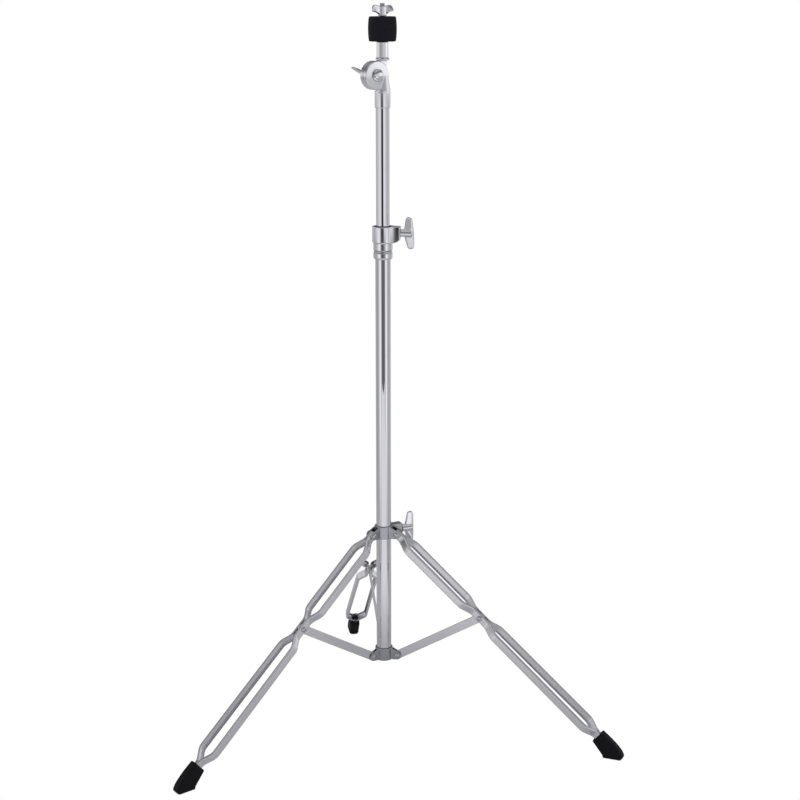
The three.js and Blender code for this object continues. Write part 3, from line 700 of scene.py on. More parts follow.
def earedRing(look, half):
    solids = [pipe(collarBore - collar["overcut"], collarRadius, -half, half, collar["edge"], 96)]
    root = collarRadius - collar["wall"] * collar["earRoot"]
    tip = arc((collar["pivotRadius"], -look["pivotDrop"]), collar["earRadius"], -90, 90, 20)
    rootHalf = half - collar["earInset"]
    outline = [(root, -rootHalf)] + tip + [(root, rootHalf)]
    near = look["earGap"] / 2
    for number in (1, 2, 3):
        for side in (-1, 1):
            low, high = sorted((side * near, side * (near + collar["earThickness"])))
            ear = slab(outline, low, high, collar["edge"])
            solids.append(moved(ear, standUp, spin(legAzimuth(number))))
    return solids


# A lug drawn in plan and from the side, the two outlines crossed. A root wider than the lug is joined
# to it by a hollow.
def lugOf(look, ringRadius, rootHalf, low, high):
    end = ringRadius + look["reach"]
    half, corner = look["halfWidth"], look["corner"]
    flank = [(0, rootHalf, 0)]
    if rootHalf > half:
        first, bend = look["hollowFrom"], look["hollowBend"]
        leave = (ringRadius * first[0], rootHalf * first[1])
        hollow = curve(leave, (ringRadius * bend, half + bend), (end, half))
        flank += [(x, y, 0) for x, y in hollow[:-1]]
    plan = [(x, -y, own) for x, y, own in flank] + [(end, -half, corner), (end, half, corner)] + flank[::-1]
    side = [(0, low, 0), (ringRadius, low, 0)]
    side += curve((ringRadius, low), (end, low), (end, low + look["taper"]))
    side += [(end, high, corner), (0, high, 0)]
    planSlab = slab(rounded(plan), low, high)
    sideSlab = moved(slab(rounded(side), -ringRadius, ringRadius), standUp)
    return moved(combined(planSlab, sideSlab, "INTERSECT"), spin(look["azimuth"]))


def buildCollars():
    for node, look in (("lower_collar", lowerCollar), ("leg_collar", legCollar)):
        low, high = heightsOf(node)
        half = (high - low) / 2
        solids = earedRing(look, half)
        if "azimuth" in look:
            solids.append(lugOf(look, collarRadius, look["halfWidth"], -half, half))
        bore = rod(collarBore, -2 * half, 2 * half, steps=96)
        place(cast(collar, solids, [bore]), node, "collarChrome", facing(0, (low + high) / 2), sharp=60)


buildCollars()
print("collars and rivets built")


# Legs

strap = {
    "width": 13.8,
    "depth": 4.6,
    "wall": 1.2,
    "neck": 2.6,
    "spread": 17.15,
    "footSpread": 18.65,
    "pinch": 3.85,
    "bend": 18.0,
    "backRound": 2.3,
    "lip": 0.45,
    "end": 494.5,
    "endSteps": 8,
    "stations": [13, 32, 163.5, 181.5, 217.5, 235.5, 450.5, 470.5],
}


# The channel's section: X outwards from the leg, Y square to it.
def channelSection(look):
    half, deep, wall = look["width"] / 2, look["depth"] / 2, look["wall"]
    back, lip = look["backRound"], look["lip"]
    side = [(-deep, half, lip), (-deep, half - wall, lip), (deep - wall, half - wall, back - wall)]
    other = [(x, -y, own) for x, y, own in side[::-1]]
    return rounded([(deep, -half, back), (deep, half, back)] + side + other, 0, 5)


def strapPath(look):
    half, near, end = look["width"] / 2, look["neck"], look["end"]
    wide, tight = look["spread"], look["pinch"]
    offsets = [near, wide, wide, tight, tight, wide, look["footSpread"], near]
    corners = [(0, near)] + list(zip(look["stations"], offsets)) + [(end, near)]
    quarter = [math.pi / 2 * k / look["endSteps"] for k in range(look["endSteps"] + 1)]
    start = [Vector((-half * math.cos(angle), near)) for angle in quarter[:-1]]
    finish = [Vector((end + half * math.sin(angle), near)) for angle in quarter[1:]]
    return start + rounded(corners, look["bend"], 7, closed=False) + finish


def buildStrap(number, side, way):
    look = strap
    path = strapPath(look)
    section = channelSection(look)
    rows = []
    for i, point in enumerate(path):
        run = (path[min(i + 1, len(path) - 1)] - path[max(i - 1, 0)]).normalized()
        outward = Vector((-run.y, run.x))
        beyond = max(-point.x, point.x - look["end"], 0) / (look["width"] / 2)
        narrow = math.sqrt(max(1 - beyond**2, 0.01))
        rows.append([(*(point + outward * x), y * narrow) for x, y in section])
    mesh = lofted(rows)
    if way < 0:
        moved(mesh, Matrix.Scale(-1, 4, (0, 1, 0)))
    place(mesh, f"leg_{number}_strap_{side}", "stripChrome", legFrame(number), sharp=45)


stay = {"width": 14.6, "thickness": 2.5, "edge": 0.7}


def buildStay(number):
    look = stay
    start = middleOf(f"stay_rivet_{number}")
    run = bracePoint(number) - start
    along, across = run.normalized(), acrossLeg(number)
    half, radius = look["thickness"] / 2, look["width"] / 2
    outline = arc((0, 0), radius, 90, 270) + arc((run.length, 0), radius, -90, 90)
    bar = slab(outline, -half, half, look["edge"])
    place(bar, f"stay_{number}", "stripChrome", frameAt(start, along, across.cross(along), across), sharp=45)


boot = {
    "reach": 56.0,
    "mouth": 24.0,
    "thickness": 19.0,
    "front": 1.5,
    "sole": 30.0,
    "bulge": 4.0,
    "belly": 17.0,
    "edge": 5.2,
    "rake": 1.2,
    "voxel": 0.55,
    "rounds": 9,
    "grooves": 4,
    "grooveDepth": 1.0,
    "grooveWidth": 1.6,
}


# The boot in the leg's upright plane: X out from the tube, Y up, the sole at 0.
def bootOutline(floorRadius, slope):
    look = boot
    ahead, up = math.sin(slope), math.cos(slope)
    mouth = Vector((floorRadius - look["reach"] * ahead, look["reach"] * up))
    half = Vector((up, ahead)) * look["mouth"] / 2
    front = floorRadius - look["front"]
    back = front - look["sole"]
    nose = floorRadius + look["bulge"]
    toe = (nose - look["rake"], look["edge"])
    points = [mouth - half, (back - look["rake"], look["edge"]), (back, 0), (front, 0), toe]
    points += curve(toe, (nose - look["front"], look["belly"]), mouth + half)
    return points, back, front


def buildBoot(number):
    look = boot
    pivot = middleOf(f"leg_rivet_{number}")
    slope = math.acos(-legFrame(number)[2][0])
    length = pivot.z / math.cos(slope)
    pivotRadius = (pivot - tubeAxis).xy.length
    outline, back, front = bootOutline(pivotRadius + length * math.sin(slope), slope)
    half = look["thickness"] / 2
    body = moved(slab(outline, -half, half, look["edge"], 5), standUp)
    bores = []
    for k in range(look["grooves"]):
        x = back + (front - back) * (k + 1) / (look["grooves"] + 1)
        left, right = x - look["grooveWidth"] / 2, x + look["grooveWidth"] / 2
        shape = [(left, -1), (right, -1), (right, look["grooveDepth"]), (left, look["grooveDepth"])]
        bores.append(moved(slab(shape, -2 * half, 2 * half), standUp))
    wide, thick = strap["width"] / 2 + play, strap["depth"] + 2 * play
    deep = look["reach"] - (length - strap["end"]) + wide
    pocket = slab(rounded([(-2, -thick), (deep, -thick), (deep, thick), (-2, thick)], 1), -wide, wide)
    toLeg = shift(pivotRadius, 0, pivot.z) @ spin(90 - math.degrees(slope), "Y")
    bores.append(moved(pocket, toLeg @ shift(length - look["reach"], 0, 0)))
    mesh = cast(look, [body], bores)
    place(mesh, f"rubber_foot_{number}", "mouldedRubber", facing(legAzimuth(number)), sharp=50)


for legNumber in (1, 2, 3):
    buildStrap(legNumber, "left", 1)
    buildStrap(legNumber, "right", -1)
    buildStay(legNumber)
    buildBoot(legNumber)
print("legs built")


# Height clamp

heightClamp = {
    "ringWall": 3.6,
    "sleeveWall": 3.0,
    "bushWall": 2.4,
    "height": 26.5,
    "overlap": 2.0,
    "azimuth": -20,
    "reach": 11.5,
    "halfWidth": 7.5,
    "taper": 10.0,
    "corner": 1.3,
    "hollowFrom": (0.35, 0.92),
    "hollowBend": 0.9,
    "footBevel": (1.3, 2.4),
    "groove": 0.9,
    "grooveHeight": 5.5,
    "grooveDrop": 12.0,
    "grooveFlank": (0.5, 0.6),
    "bandInset": (1.0, 0.2),
    "bandRise": 0.7,
    "overcut": 1.0,
    "steps": 120,
    "voxel": 0.42,
    "rounds": 5,
}


def buildHeightClamp():
    look = heightClamp
    bottom, top = heightsOf("height_clamp")
    base = top - look["height"]
    bushSeat = upperRadius + play + look["bushWall"] + snug
    ringRadius = bushSeat + look["ringWall"]
    seat = lowerRadius + snug
    sleeveRadius = seat + look["sleeveWall"]
    profile = [
        (seat - look["overcut"], bottom, 0),
        (sleeveRadius - look["footBevel"][0], bottom, 0.6),
        (sleeveRadius, bottom + look["footBevel"][1], 0.6),
        (sleeveRadius, base, 0.8),
        (ringRadius, base, 0.8),
        (ringRadius, top, 0.9),
        (seat - look["overcut"], top, 0),
    ]
    solids = [lathed(profile, steps=look["steps"]), lugOf(look, ringRadius, ringRadius, base, top)]
    grooveTop = base - look["grooveDrop"]
    grooveLow = grooveTop - look["grooveHeight"]
    inward, outward = look["grooveFlank"]
    groove = [
        (sleeveRadius - look["groove"], grooveLow + inward),
        (sleeveRadius + look["overcut"], grooveLow - outward),
        (sleeveRadius + look["overcut"], grooveTop + outward),
        (sleeveRadius - look["groove"], grooveTop - inward),
    ]
    bores = [
        rod(seat, bottom - past, base + look["overlap"] + play, steps=look["steps"]),
        rod(bushSeat, base + look["overlap"], top + past, steps=look["steps"]),
        turned(groove, look["steps"]),
    ]
    clamp = place(cast(look, solids, bores), "height_clamp", "castChrome", facing(0), sharp=60)
    # The faces in and beside the groove in the sleeve get the darker, rougher collar material.
    clamp.data.materials.append(bpy.data.materials["collarChrome"])
    near, far = seat + look["bandInset"][0], sleeveRadius - look["bandInset"][1]
    reach = look["grooveHeight"] / 2 + look["bandRise"]
    for face in clamp.data.polygons:
        spot = face.center / mm - tubeAxis
        level = face.center.z / mm - (grooveTop + grooveLow) / 2
        if near < spot.xy.length < far and abs(level) < reach:
            face.material_index = 1


def buildClampBush():
    inner = upperRadius + play
    mesh = pipe(inner, inner + heightClamp["bushWall"], *heightsOf("clamp_bush"), 0.5, 96)
    place(mesh, "clamp_bush", "mouldedNylon", facing(0))


buildHeightClamp()
buildClampBush()
print("height clamp built")


# Wing bolts and wing nuts

wing = {
    "hub": 6.2,
    "neck": 5.7,
    "depth": 16.4,
    "hubDepth": 13.5,
    "tip": 6.0,
    "sweep": 3.6,
    "reach": 29.0,
    "rootThickness": 2.7,
    "tipThickness": 1.5,
    "squareness": 0.6,
    "shank": 4.0,
    "pitch": 1.25,
    "thread": 0.5,
    "sideSteps": 14,
    "tipSteps": 8,
    "around": 28,
    "voxel": 0.38,
    "rounds": 6,
}


# One lobe of a wing, from the hub to its tip: how far out, and its near and far edges.
def lobeRows(look):
    start, back = look["neck"], look["neck"] + look["depth"]
    turnStart = look["reach"] - look["tip"]
    centre = start + look["sweep"] + look["tip"]
    rows = []
    for step in range(look["sideSteps"] + 1):
        s = step / look["sideSteps"]
        out = (1 - s) * s * look["reach"] + s * s * turnStart
        far = back - (back - centre - look["tip"]) * s * s
        near = start + look["sweep"] * max(0, out - look["hub"]) / (turnStart - look["hub"])
        rows.append((out, near, far))
    for step in range(1, look["tipSteps"]):
        angle = math.pi / 2 * step / look["tipSteps"]
        half = look["tip"] * math.cos(angle)
        rows.append((turnStart + look["tip"] * math.sin(angle), centre - half, centre + half))
    return rows


# Gives a round section fuller corners.
def fuller(value):
    return math.copysign(abs(value) ** wing["squareness"], value)


# X runs along the screw and Y out to the tip. The lean twists a lobe about its own length, more
# towards the tip.
def lobe(look, way, lean):
    rows = []
    for out, near, far in lobeRows(look):
        share = min(out / look["reach"], 1)
        thick = look["rootThickness"] + (look["tipThickness"] - look["rootThickness"]) * share
        beyond = (out - look["reach"] + look["tip"]) / look["tip"]
        if beyond > 0:
            thick *= math.sqrt(max(1 - beyond**4, 0.05))
        twist = Matrix.Rotation(deg(lean * min(2 * share, 1)), 2)
        row = []
        for k in range(look["around"]):
            angle = 2 * math.pi * k / look["around"]
            wide = (far - near) / 2 * fuller(math.cos(angle))
            across = twist @ Vector((wide, thick * fuller(math.sin(angle))))
            row.append(((near + far) / 2 + across.x, way * out, across.y))
        rows.append(row)
    mesh = lofted(rows)
    if way > 0:
        mesh.flip_normals()
    return mesh


# A pair of lobes on their hub, with X out along the screw and the lobes up and down.
def wingSolids(leans=(0, 0)):
    look = wing
    end = look["neck"] + look["hubDepth"]
    profile = [(0, 0, 0), (look["hub"], 0, 0.6), (look["hub"], end, 2.0), (0, end, 0)]
    lobes = [moved(lobe(look, way, lean), standUp) for way, lean in zip((1, -1), leans)]
    return lobes + [moved(lathed(profile, arcs=5), toX)]


wingBolts = {
    "leg_lock_wing_bolt": {"azimuth": 16, "turn": 0, "lugEnd": 33.7, "leans": (0, 5)},
    "clamp_wing_bolt": {"azimuth": -20, "turn": 18, "lugEnd": 29.05, "leans": (12, 0)},
}


def buildWingBolts():
    for (node, bolt), tube in zip(wingBolts.items(), (lowerRadius, upperRadius)):
        head = cast(wing, wingSolids(bolt["leans"]))
        start = tube - bolt["lugEnd"]
        shank = moved(threadedRod(wing["shank"], start, 1.0, wing["pitch"], wing["thread"]), toX)
        seat = facing(bolt["azimuth"], middleOf(node).z) @ shift(bolt["lugEnd"] + play, 0, 0)
        place(combined(head, shank, "UNION"), node, "castChrome", seat @ spin(bolt["turn"], "X"), sharp=60)


buildWingBolts()
print("wing bolts built")


# Tilter. Its own frame has X along the hinge bolt, Y across and Z up.

tilter = {
    "azimuth": -62,
    "pivotOffset": 16.0,
    "discRadius": 22.8,
    "discThickness": 8.6,
    "discBoss": 11.2,
    "bossFoot": (1.5, 0.35),
    "baseRim": 8.0,
    "headRim": 7.4,
    "armThickness": 8.6,
    "armTop": 8.6,
    "armFlare": 1.5,
    "armLift": 0.4,
    "flankBend": 0.4,
    "taperBend": 0.7,
    "gap": 0.6,
    "bore": 4.15,
    "socketRadius": 12.65,
    "socketHeight": 28.5,
    "socketShoulder": 2.2,
    "tubeDepth": 26.0,
    "post": 9.4,
    "collarRadius": 11.1,
    "collarHeight": 4.6,
    "voxel": 0.4,
    "rounds": 5,
}
pivotHeight = middleOf("tilter_bolt").z
tilterFrame = facing(tilter["azimuth"])
hinge = shift(0, -tilter["pivotOffset"], pivotHeight)
hingeFace = tilter["gap"] / 2 + tilter["discThickness"]


def hingeDisc(side, rim):
    look = tilter
    face = look["gap"] / 2
    wider, rise = look["bossFoot"]
    profile = [
        (0, face, 0),
        (look["discRadius"], face, 0.3),
        (look["discRadius"], face + rim, 1.1),
        (look["discBoss"] + wider, face + rim + rise, 1.4),
        (look["discBoss"], hingeFace, 1.0),
        (0, hingeFace, 0),
    ]
    return moved(lathed(profile, steps=120, arcs=5), toX, spin(0 if side > 0 else 180), hinge)


# The arm from the socket or the post to its disc: a cone, cut flat at the hinge and thinned to the
# disc.
def hingeArm(side, near, radius, narrow):
    look = tilter
    face, edge = side * look["gap"] / 2, side * radius
    rise = pivotHeight - near
    rim = look["discRadius"] - look["pivotOffset"]
    outline = [(-radius, near), (radius, near)]
    bend = (rim + look["armFlare"], near + look["flankBend"] * rise)
    outline += curve((radius, near), bend, (rim, pivotHeight))
    outline.append((-radius, pivotHeight))
    flat = moved(slab(outline, *sorted((face, edge))), standUp, spin(90))
    taper = [(face, near), (edge, near)]
    thin = face + side * look["armThickness"]
    taper += curve((edge, near), (edge, near + look["taperBend"] * rise), (thin, pivotHeight))
    taper.append((face, pivotHeight))
    wedge = moved(slab(taper, -radius, radius), standUp)
    low, high = sorted([(near, radius), (pivotHeight, narrow)])
    cone = turned([(0, low[0]), (low[1], low[0]), (high[1], high[0]), (0, high[0])], 96)
    return combined(combined(cone, flat, "INTERSECT"), wedge, "INTERSECT")


def boltBore():
    return moved(rod(tilter["bore"], -30, 30, steps=48), toX, hinge)


def buildTilterBase():
    look = tilter
    bottom = heightsOf("tilter_base")[0]
    top = bottom + look["socketHeight"]
    shoulder = top - look["socketShoulder"]
    profile = [
        (0, bottom, 0),
        (look["socketRadius"], bottom, 1.2),
        (look["socketRadius"], shoulder, 2.5),
        (look["post"], top, 1.0),
        (0, top, 0),
    ]
    arm = hingeArm(1, shoulder, look["socketRadius"], look["armTop"])
    solids = [lathed(profile, steps=120, arcs=5), arm, hingeDisc(1, look["baseRim"])]
    socket = rod(upperRadius + snug, bottom - past, bottom + look["tubeDepth"] + play, steps=96)
    headSeat = moved(rod(tilterBolt["head"] + play, hingeFace, hingeFace + 10), toX, hinge)
    mesh = cast(look, solids, [socket, boltBore(), headSeat])
    place(mesh, "tilter_base", "castChrome", tilterFrame, sharp=60)


def buildTilterHead():
    look = tilter
    top = heightsOf("tilter_head")[1]
    base = pivotHeight + look["discRadius"] + play
    profile = [
        (0, base, 0),
        (look["collarRadius"], base, 0.7),
        (look["collarRadius"], base + look["collarHeight"] / 2, 0.9),
        (look["post"], base + look["collarHeight"], 0.6),
        (look["post"], top, 0.8),
        (0, top, 0),
    ]
    arm = hingeArm(-1, base + look["armLift"], look["post"], look["post"])
    solids = [lathed(profile, steps=120, arcs=5), arm, hingeDisc(-1, look["headRim"])]
    studBore = rod(stud["radius"] + snug, top - stud["seatDepth"], top + past, steps=48)
    recess = rod(sleeve["flange"] + snug, top - sleeve["flangeHeight"] - play, top + past)
    mesh = cast(look, solids, [studBore, boltBore(), recess])
    place(mesh, "tilter_head", "castChrome", tilterFrame, sharp=60)


sleeve = {"inner": 4.25, "outer": 5.85, "flange": 7.35, "flangeHeight": 1.3}
stud = {"radius": 3.95, "pitch": 1.25, "thread": 0.45, "seatDepth": 22.3}
tilterBolt = {
    "radius": 4.0,
    "threaded": 12.0,
    "overlap": 0.4,
    "head": 9.9,
    "rise": 5.4,
    "waist": 0.4,
    "dome": 0.8,
    "edge": 0.4,
}


def buildTilterBolt():
    look = tilterBolt
    face = hingeFace + play
    far = -face - wing["neck"] - wing["depth"]
    waist, crown = face + look["rise"] * look["waist"], face + look["rise"]
    radius, head, threadEnd = look["radius"], look["head"], far + look["threaded"]
    profile = [(0, threadEnd), (radius, threadEnd), (radius, face)]
    profile += [(head - look["edge"], face), (head, face + look["edge"]), (head, waist)]
    profile += curve((head, waist), (head * look["dome"], crown), (0, crown), 12)
    thread = threadedRod(radius, far, threadEnd + look["overlap"], wing["pitch"], wing["thread"])
    mesh = combined(turned(profile), thread, "UNION")
    place(mesh, "tilter_bolt", "castChrome", tilterFrame @ hinge @ toX, sharp=40)


tilterWing = {"turn": 64}


def buildTilterWing():
    bore = moved(rod(tilter["bore"], -5, 40, steps=48), toX)
    seat = tilterFrame @ hinge @ shift(-hingeFace - play, 0, 0)
    turn = spin(tilterWing["turn"], "X") @ spin(180)
    place(cast(wing, wingSolids(), [bore]), "tilter_wing_nut", "castChrome", seat @ turn, sharp=60)


buildTilterBase()
buildTilterHead()
buildTilterBolt()
buildTilterWing()
buildPins()
print("tilter built")


# Cymbal seat


def buildStud():
    mesh = threadedRod(stud["radius"], *heightsOf("cymbal_stud"), stud["pitch"], stud["thread"])
    place(mesh, "cymbal_stud", "platedSteel", facing(0), sharp=30)


def buildSleeve():
    look = sleeve
    bottom, top = heightsOf("cymbal_sleeve")
    shoulder = bottom + look["flangeHeight"]
    profile = [
        (look["inner"], bottom, 0.2),
        (look["flange"], bottom, 0.3),
        (look["flange"], shoulder, 0.3),
        (look["outer"], shoulder, 0.4),
        (look["outer"], top, 0.5),
        (look["inner"], top, 0.2),
    ]
    place(lathed(profile, steps=64), "cymbal_sleeve", "mouldedNylon", facing(0))


feltWasher = {
    "bore": 6.15,
    "radius": 22.93,
    "crown": 1.4,
    "outerEdge": 2.9,
    "meetingEdge": 0.12,
    "rows": 14,
    "lumps": 0.35,
    "tufts": 1.6,
    "fuzz": 0.12,
    "squeeze": 0.28,
}


# The two felts make one barrel, widest where they meet.
def feltProfile(look, low, high, outerHeight):
    rows = look["rows"]
    heights = [low + (high - low) * k / rows for k in range(rows + 1)]
    radii = []
    for height in heights:
        away = 1 - abs(height - outerHeight) / (high - low)
        radii.append(look["radius"] - look["crown"] * away**2)
    edges = [look["outerEdge"] if height == outerHeight else look["meetingEdge"] for height in (low, high)]
    corners = [(look["bore"], low, 0.8), (radii[0], low, edges[0])]
    for radius, height in zip(radii[1:-1], heights[1:-1]):
        if edges[0] < height - low and edges[1] < high - height:
            corners.append((radius, height, 0))
    corners += [(radii[-1], high, edges[1]), (look["bore"], high, 0.8)]
    return rounded(corners, 0, 6)


def buildFeltWasher(node, atTop, seed):
    look = feltWasher
    low, high = heightsOf(node)
    # Each felt is squeezed against the other one.
    if atTop:
        low -= look["squeeze"]
    else:
        high += look["squeeze"]
    mesh = turned(feltProfile(look, low, high, high if atTop else low), 160)
    for vert in mesh.vertices:
        out = Vector((vert.co.x, vert.co.y, 0))
        if out.length > look["bore"] + 1:
            lump = noise.noise(vert.co * look["lumps"] + Vector((0, 0, seed)))
            tuft = noise.noise(vert.co * look["tufts"])
            vert.co -= out.normalized() * look["fuzz"] * (1 + lump + 0.5 * tuft) / 2
    place(mesh, node, "pressedFelt", facing(0), sharp=70)


topNut = {
    "hub": 6.4,
    "flare": 1.15,
    "hubHeight": 15.6,
    "radius": 20.4,
    "rise": 17.2,
    "root": 1.5,
    "tip": 10.6,
    "belly": 0.6,
    "shoulder": 0.8,
    "thickness": 3.6,
    "edge": 1.5,
    "leanLeft": 2,
    "leanRight": -24,
    "leanBy": 2.0,
    "azimuth": 28,
    "voxel": 0.3,
    "rounds": 6,
}


def nutOutline(look):
    hub, root, top, radius = look["hub"], look["root"], look["hubHeight"], look["radius"]
    high, low = look["rise"], look["rise"] - look["tip"]
    belly, shoulder = radius * look["belly"], radius * look["shoulder"]
    right = [(hub, root)] + curve((hub, root), (belly, low), (radius, low))
    right += curve(right[-1], (radius, high), (shoulder, high))
    right += curve(right[-1], (radius / 2, high), (hub, top))
    left = [(-radius, low)] + curve((-radius, low), (-belly, low), (-hub, root))
    back = [(-hub, top)] + curve((-hub, top), (-radius / 2, high), (-shoulder, high))
    return left + right + back + curve(back[-1], (-radius, high), (-radius, low))[:-1]


def buildTopNut():
    look = topNut
    bottom = heightsOf("top_wing_nut")[0]
    hub, top = look["hub"], look["hubHeight"]
    half = look["thickness"] / 2
    plate = moved(slab(nutOutline(look), -half, half, look["edge"], 4), standUp)
    middle = look["rise"] - look["tip"] / 2
    for vert in plate.vertices:
        share = min((abs(vert.co.x) - hub) / (look["radius"] - hub) * look["leanBy"], 1)
        if share > 0:
            lean = look["leanRight"] if vert.co.x > 0 else look["leanLeft"]
            leaned = Matrix.Rotation(deg(lean * share), 2) @ Vector((vert.co.y, vert.co.z - middle))
            vert.co.y, vert.co.z = leaned.x, leaned.y + middle
    profile = [
        (0, 0, 0),
        (hub * look["flare"], 0, 0.5),
        (hub, look["root"], 1.0),
        (hub, top, 1.6),
        (0, top, 0),
    ]
    bore = rod(stud["radius"] + snug, -past, top + past, steps=48)
    mesh = cast(look, [plate, lathed(profile, arcs=5)], [bore])
    place(mesh, "top_wing_nut", "castChrome", facing(look["azimuth"], bottom), sharp=60)


buildStud()
buildSleeve()
buildFeltWasher("lower_felt", False, 3.0)
buildFeltWasher("upper_felt", True, 9.0)
buildTopNut()
print("cymbal seat built")


# Camera, at the photograph's place

view = {
    "fromTube": (-394.7, -2591.2),
    "height": 1251.5,
    "azimuth": 80.73,
    "down": 14.314,
    "lens": 72.64,
    "sensor": 36.0,
}


def buildCamera():
    look = view
    camera = newObject("photoCamera", bpy.data.cameras.new("photoCamera"))
    camera.data.lens = look["lens"]
    camera.data.sensor_width = look["sensor"]
    camera.data.clip_end = 50
    out = Vector((*look["fromTube"], look["height"] - tubeAxis.z))
    camera.location = (tubeAxis + out) * mm
    azimuth, down = deg(look["azimuth"]), deg(look["down"])
    level = math.cos(down)
    ahead = Vector((math.cos(azimuth) * level, math.sin(azimuth) * level, -math.sin(down)))
    camera.rotation_euler = ahead.to_track_quat("-Z", "Y").to_euler()
    bpy.context.scene.camera = camera


buildCamera()


# Studio: a white sweep, soft lamps, and the darker room on the camera's side. Azimuths count from the
# camera's own side. Each ring is a band of soft boxes round the stand: an azimuth and the light there.
# A layer takes over from the ones before it as the sight line's rise goes from one end to the other.

studio = {
    "floor": [
        (-0.95, 2.4), (-0.78, 1.35), (-0.47, 0.75), (-0.47, -0.62),
        (0.56, -0.62), (0.62, 0.6), (0.85, 1.2), (0.95, 2.4),
    ],
    "floorCorner": 0.16,
    "ambient": 0.62,
    "cameraAzimuth": -98.66,
    "level": [
        (-165, 0.4), (-128, 0.95), (-106, 1.06), (-89, 1.02), (-74, 0.92), (-60, 0.7), (-47, 0.47),
        (-30, 0.45), (-11, 0.56), (0, 0.67), (12, 0.75), (35, 0.82), (58, 0.86), (66, 1.0),
        (74, 1.32), (100, 1.3), (118, 1.1), (160, 0.5), (180, 0.25),
    ],
    "dipping": [
        (-165, 0.4), (-128, 0.72), (-100, 0.7), (-82, 0.78), (-64, 1.0), (-48, 1.1), (-35, 1.02),
        (-25, 0.55), (-19, 0.12), (-13, 0.01), (-2, 0.01), (7, 0.3), (13, 0.95), (19, 1.25),
        (28, 1.15), (40, 0.98), (60, 0.78), (80, 0.68), (105, 0.62), (130, 0.95), (165, 0.5),
        (180, 0.3),
    ],
    "below": [
        (-165, 0.5), (-128, 0.6), (-104, 0.48), (-86, 0.5), (-72, 0.66), (-58, 1.02), (-45, 1.3),
        (-33, 1.15), (-26, 0.6), (-19, 0.2), (-10, 0.18), (6, 0.18), (18, 0.24), (27, 0.42),
        (33, 0.95), (41, 1.42), (49, 1.3), (60, 0.9), (75, 0.62), (90, 0.56), (108, 0.6),
        (135, 0.8), (165, 0.6), (180, 0.5),
    ],
    "layers": [("dipping", (-0.046, -0.072)), ("below", (-0.135, -0.165))],
    "plainLayers": [(0.24, (0.08, 0.42)), (0.7, (0.5, 0.85)), (0.56, (-0.23, -0.38))],  # above, top, under
}


def ringOf(tree, band, turn):
    ring = addNode(tree, "ValToRGB", {0: turn})
    ring.color_ramp.interpolation = "EASE"
    stops = sorted((((studio["cameraAzimuth"] + at + 180) / 360) % 1, value) for at, value in band)
    seam = (stops[0][1] + stops[-1][1]) / 2
    stops = [(0.0, seam)] + stops + [(1.0, seam)]
    while len(ring.color_ramp.elements) < len(stops):
        ring.color_ramp.elements.new(0.5)
    for element, (position, value) in zip(ring.color_ramp.elements, stops):
        element.position = position
        element.color = (value, value, value, 1)
    return ring.outputs[0]


def fadeOf(tree, value, ends):
    return spanOf(tree, value, *ends, interpolation_type="SMOOTHSTEP")


def buildWorld():
    world = bpy.data.worlds.new("studioRoom")
    bpy.context.scene.world = world
    world.use_nodes = True
    tree = world.node_tree
    tree.nodes.clear()
    paths = addNode(tree, "LightPath").outputs
    sight = addNode(tree, "TexCoord").outputs["Generated"]
    axes = addNode(tree, "SeparateXYZ", {0: sight}).outputs
    turn = spanOf(tree, mathOf(tree, "ARCTAN2", axes["Y"], axes["X"]), -math.pi, math.pi)
    light = ringOf(tree, studio["level"], turn)
    for name, ends in studio["layers"]:
        light = mixOf(tree, fadeOf(tree, axes["Z"], ends), light, ringOf(tree, studio[name], turn))
    for grey, ends in studio["plainLayers"]:
        light = mixOf(tree, fadeOf(tree, axes["Z"], ends), light, (grey, grey, grey, 1))
    plain = outOf(tree, "Background", {"Strength": studio["ambient"]})
    room = outOf(tree, "Background", {"Color": light, "Strength": 1.0})
    white = outOf(tree, "Background", {"Color": (1, 1, 1, 1), "Strength": 1.0})
    mirror = mathOf(tree, "MAXIMUM", paths["Is Glossy Ray"], paths["Is Transmission Ray"])
    unseen = outOf(tree, "MixShader", {0: mirror, 1: plain, 2: room})
    whole = outOf(tree, "MixShader", {0: paths["Is Camera Ray"], 1: unseen, 2: white})
    addNode(tree, "OutputWorld", {0: whole})


# In mirrors the paper is bright only at some distance from the stand. Nearer, mirrors see the grey paper
# instead: painted shade round the stand.
floorLook = {
    "paper": {"Base Color": (0.5, 0.5, 0.51, 1), "Roughness": 0.9, "Specular IOR Level": 0.0},
    "glow": 0.84,
    "strength": 1.13,
    "brightFrom": (0.71, 1.36),
    "darkest": (0.0, 0.56, 0.0),
}


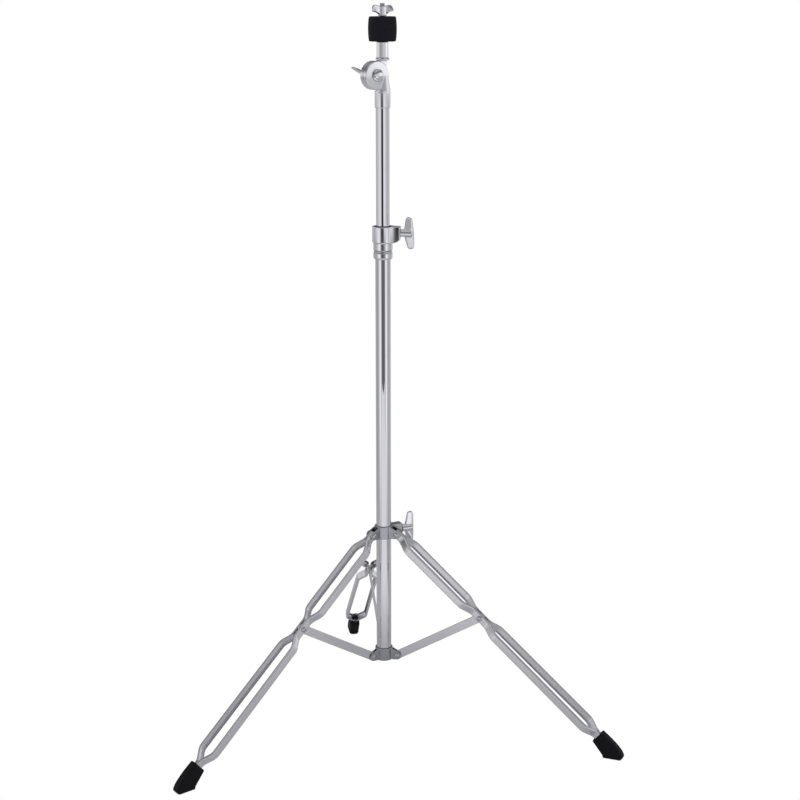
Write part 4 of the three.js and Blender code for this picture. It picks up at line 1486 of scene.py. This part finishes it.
def buildFloor():
    look = floorLook
    outline = rounded([(x, -ahead) for x, ahead in studio["floor"]], studio["floorCorner"], 12)
    turn = spin(studio["cameraAzimuth"] + 90)
    mesh = meshOf([turn @ point.to_3d() for point in outline], [list(range(len(outline)))])
    floor = newObject("paleFloor", mesh)
    floor.location = (tubeAxis.x * mm, tubeAxis.y * mm, 0)
    material, tree, shader = newMaterial("floorPaper", look["paper"])
    paths = addNode(tree, "LightPath").outputs
    where = addNode(tree, "TexCoord").outputs["Object"]
    away = addNode(tree, "VectorMath", {0: where, 1: look["darkest"]}, operation="DISTANCE").outputs["Value"]
    far = fadeOf(tree, away, look["brightFrom"])
    mirrored = mathOf(tree, "MULTIPLY", paths["Is Glossy Ray"], far)
    seen = mathOf(tree, "MAXIMUM", paths["Is Camera Ray"], mirrored)
    either = mathOf(tree, "MAXIMUM", seen, paths["Is Transmission Ray"])
    share = mathOf(tree, "MULTIPLY", either, look["glow"])
    glow = outOf(tree, "Emission", {"Color": (1, 1, 1, 1), "Strength": look["strength"]})
    paper = outOf(tree, "MixShader", {0: share, 1: shader.outputs[0], 2: glow})
    tree.links.new(paper, tree.nodes["Material Output"].inputs[0])
    mesh.materials.append(material)


lamps = {
    "keyLamp": {"at": (-2.2, -2.6, 2.8), "size": 1.6, "watts": 70},
    "fillLamp": {"at": (2.6, -1.6, 2.2), "size": 1.6, "watts": 35},
    "backLamp": {"at": (0.6, 2.6, 2.6), "size": 1.4, "watts": 30},
}


def buildLamps():
    for name, look in lamps.items():
        data = bpy.data.lights.new(name, "AREA")
        data.shape = "DISK"
        data.size = look["size"]
        data.energy = look["watts"]
        lamp = newObject(name, data)
        lamp.location = look["at"]
        aim = Vector((tubeAxis.x * mm, tubeAxis.y * mm, 0.6)) - lamp.location
        lamp.rotation_euler = aim.to_track_quat("-Z", "Y").to_euler()
        lamp.visible_glossy = False


buildWorld()
buildFloor()
buildLamps()
bpy.context.scene.view_settings.view_transform = "Standard"
print("studio built")
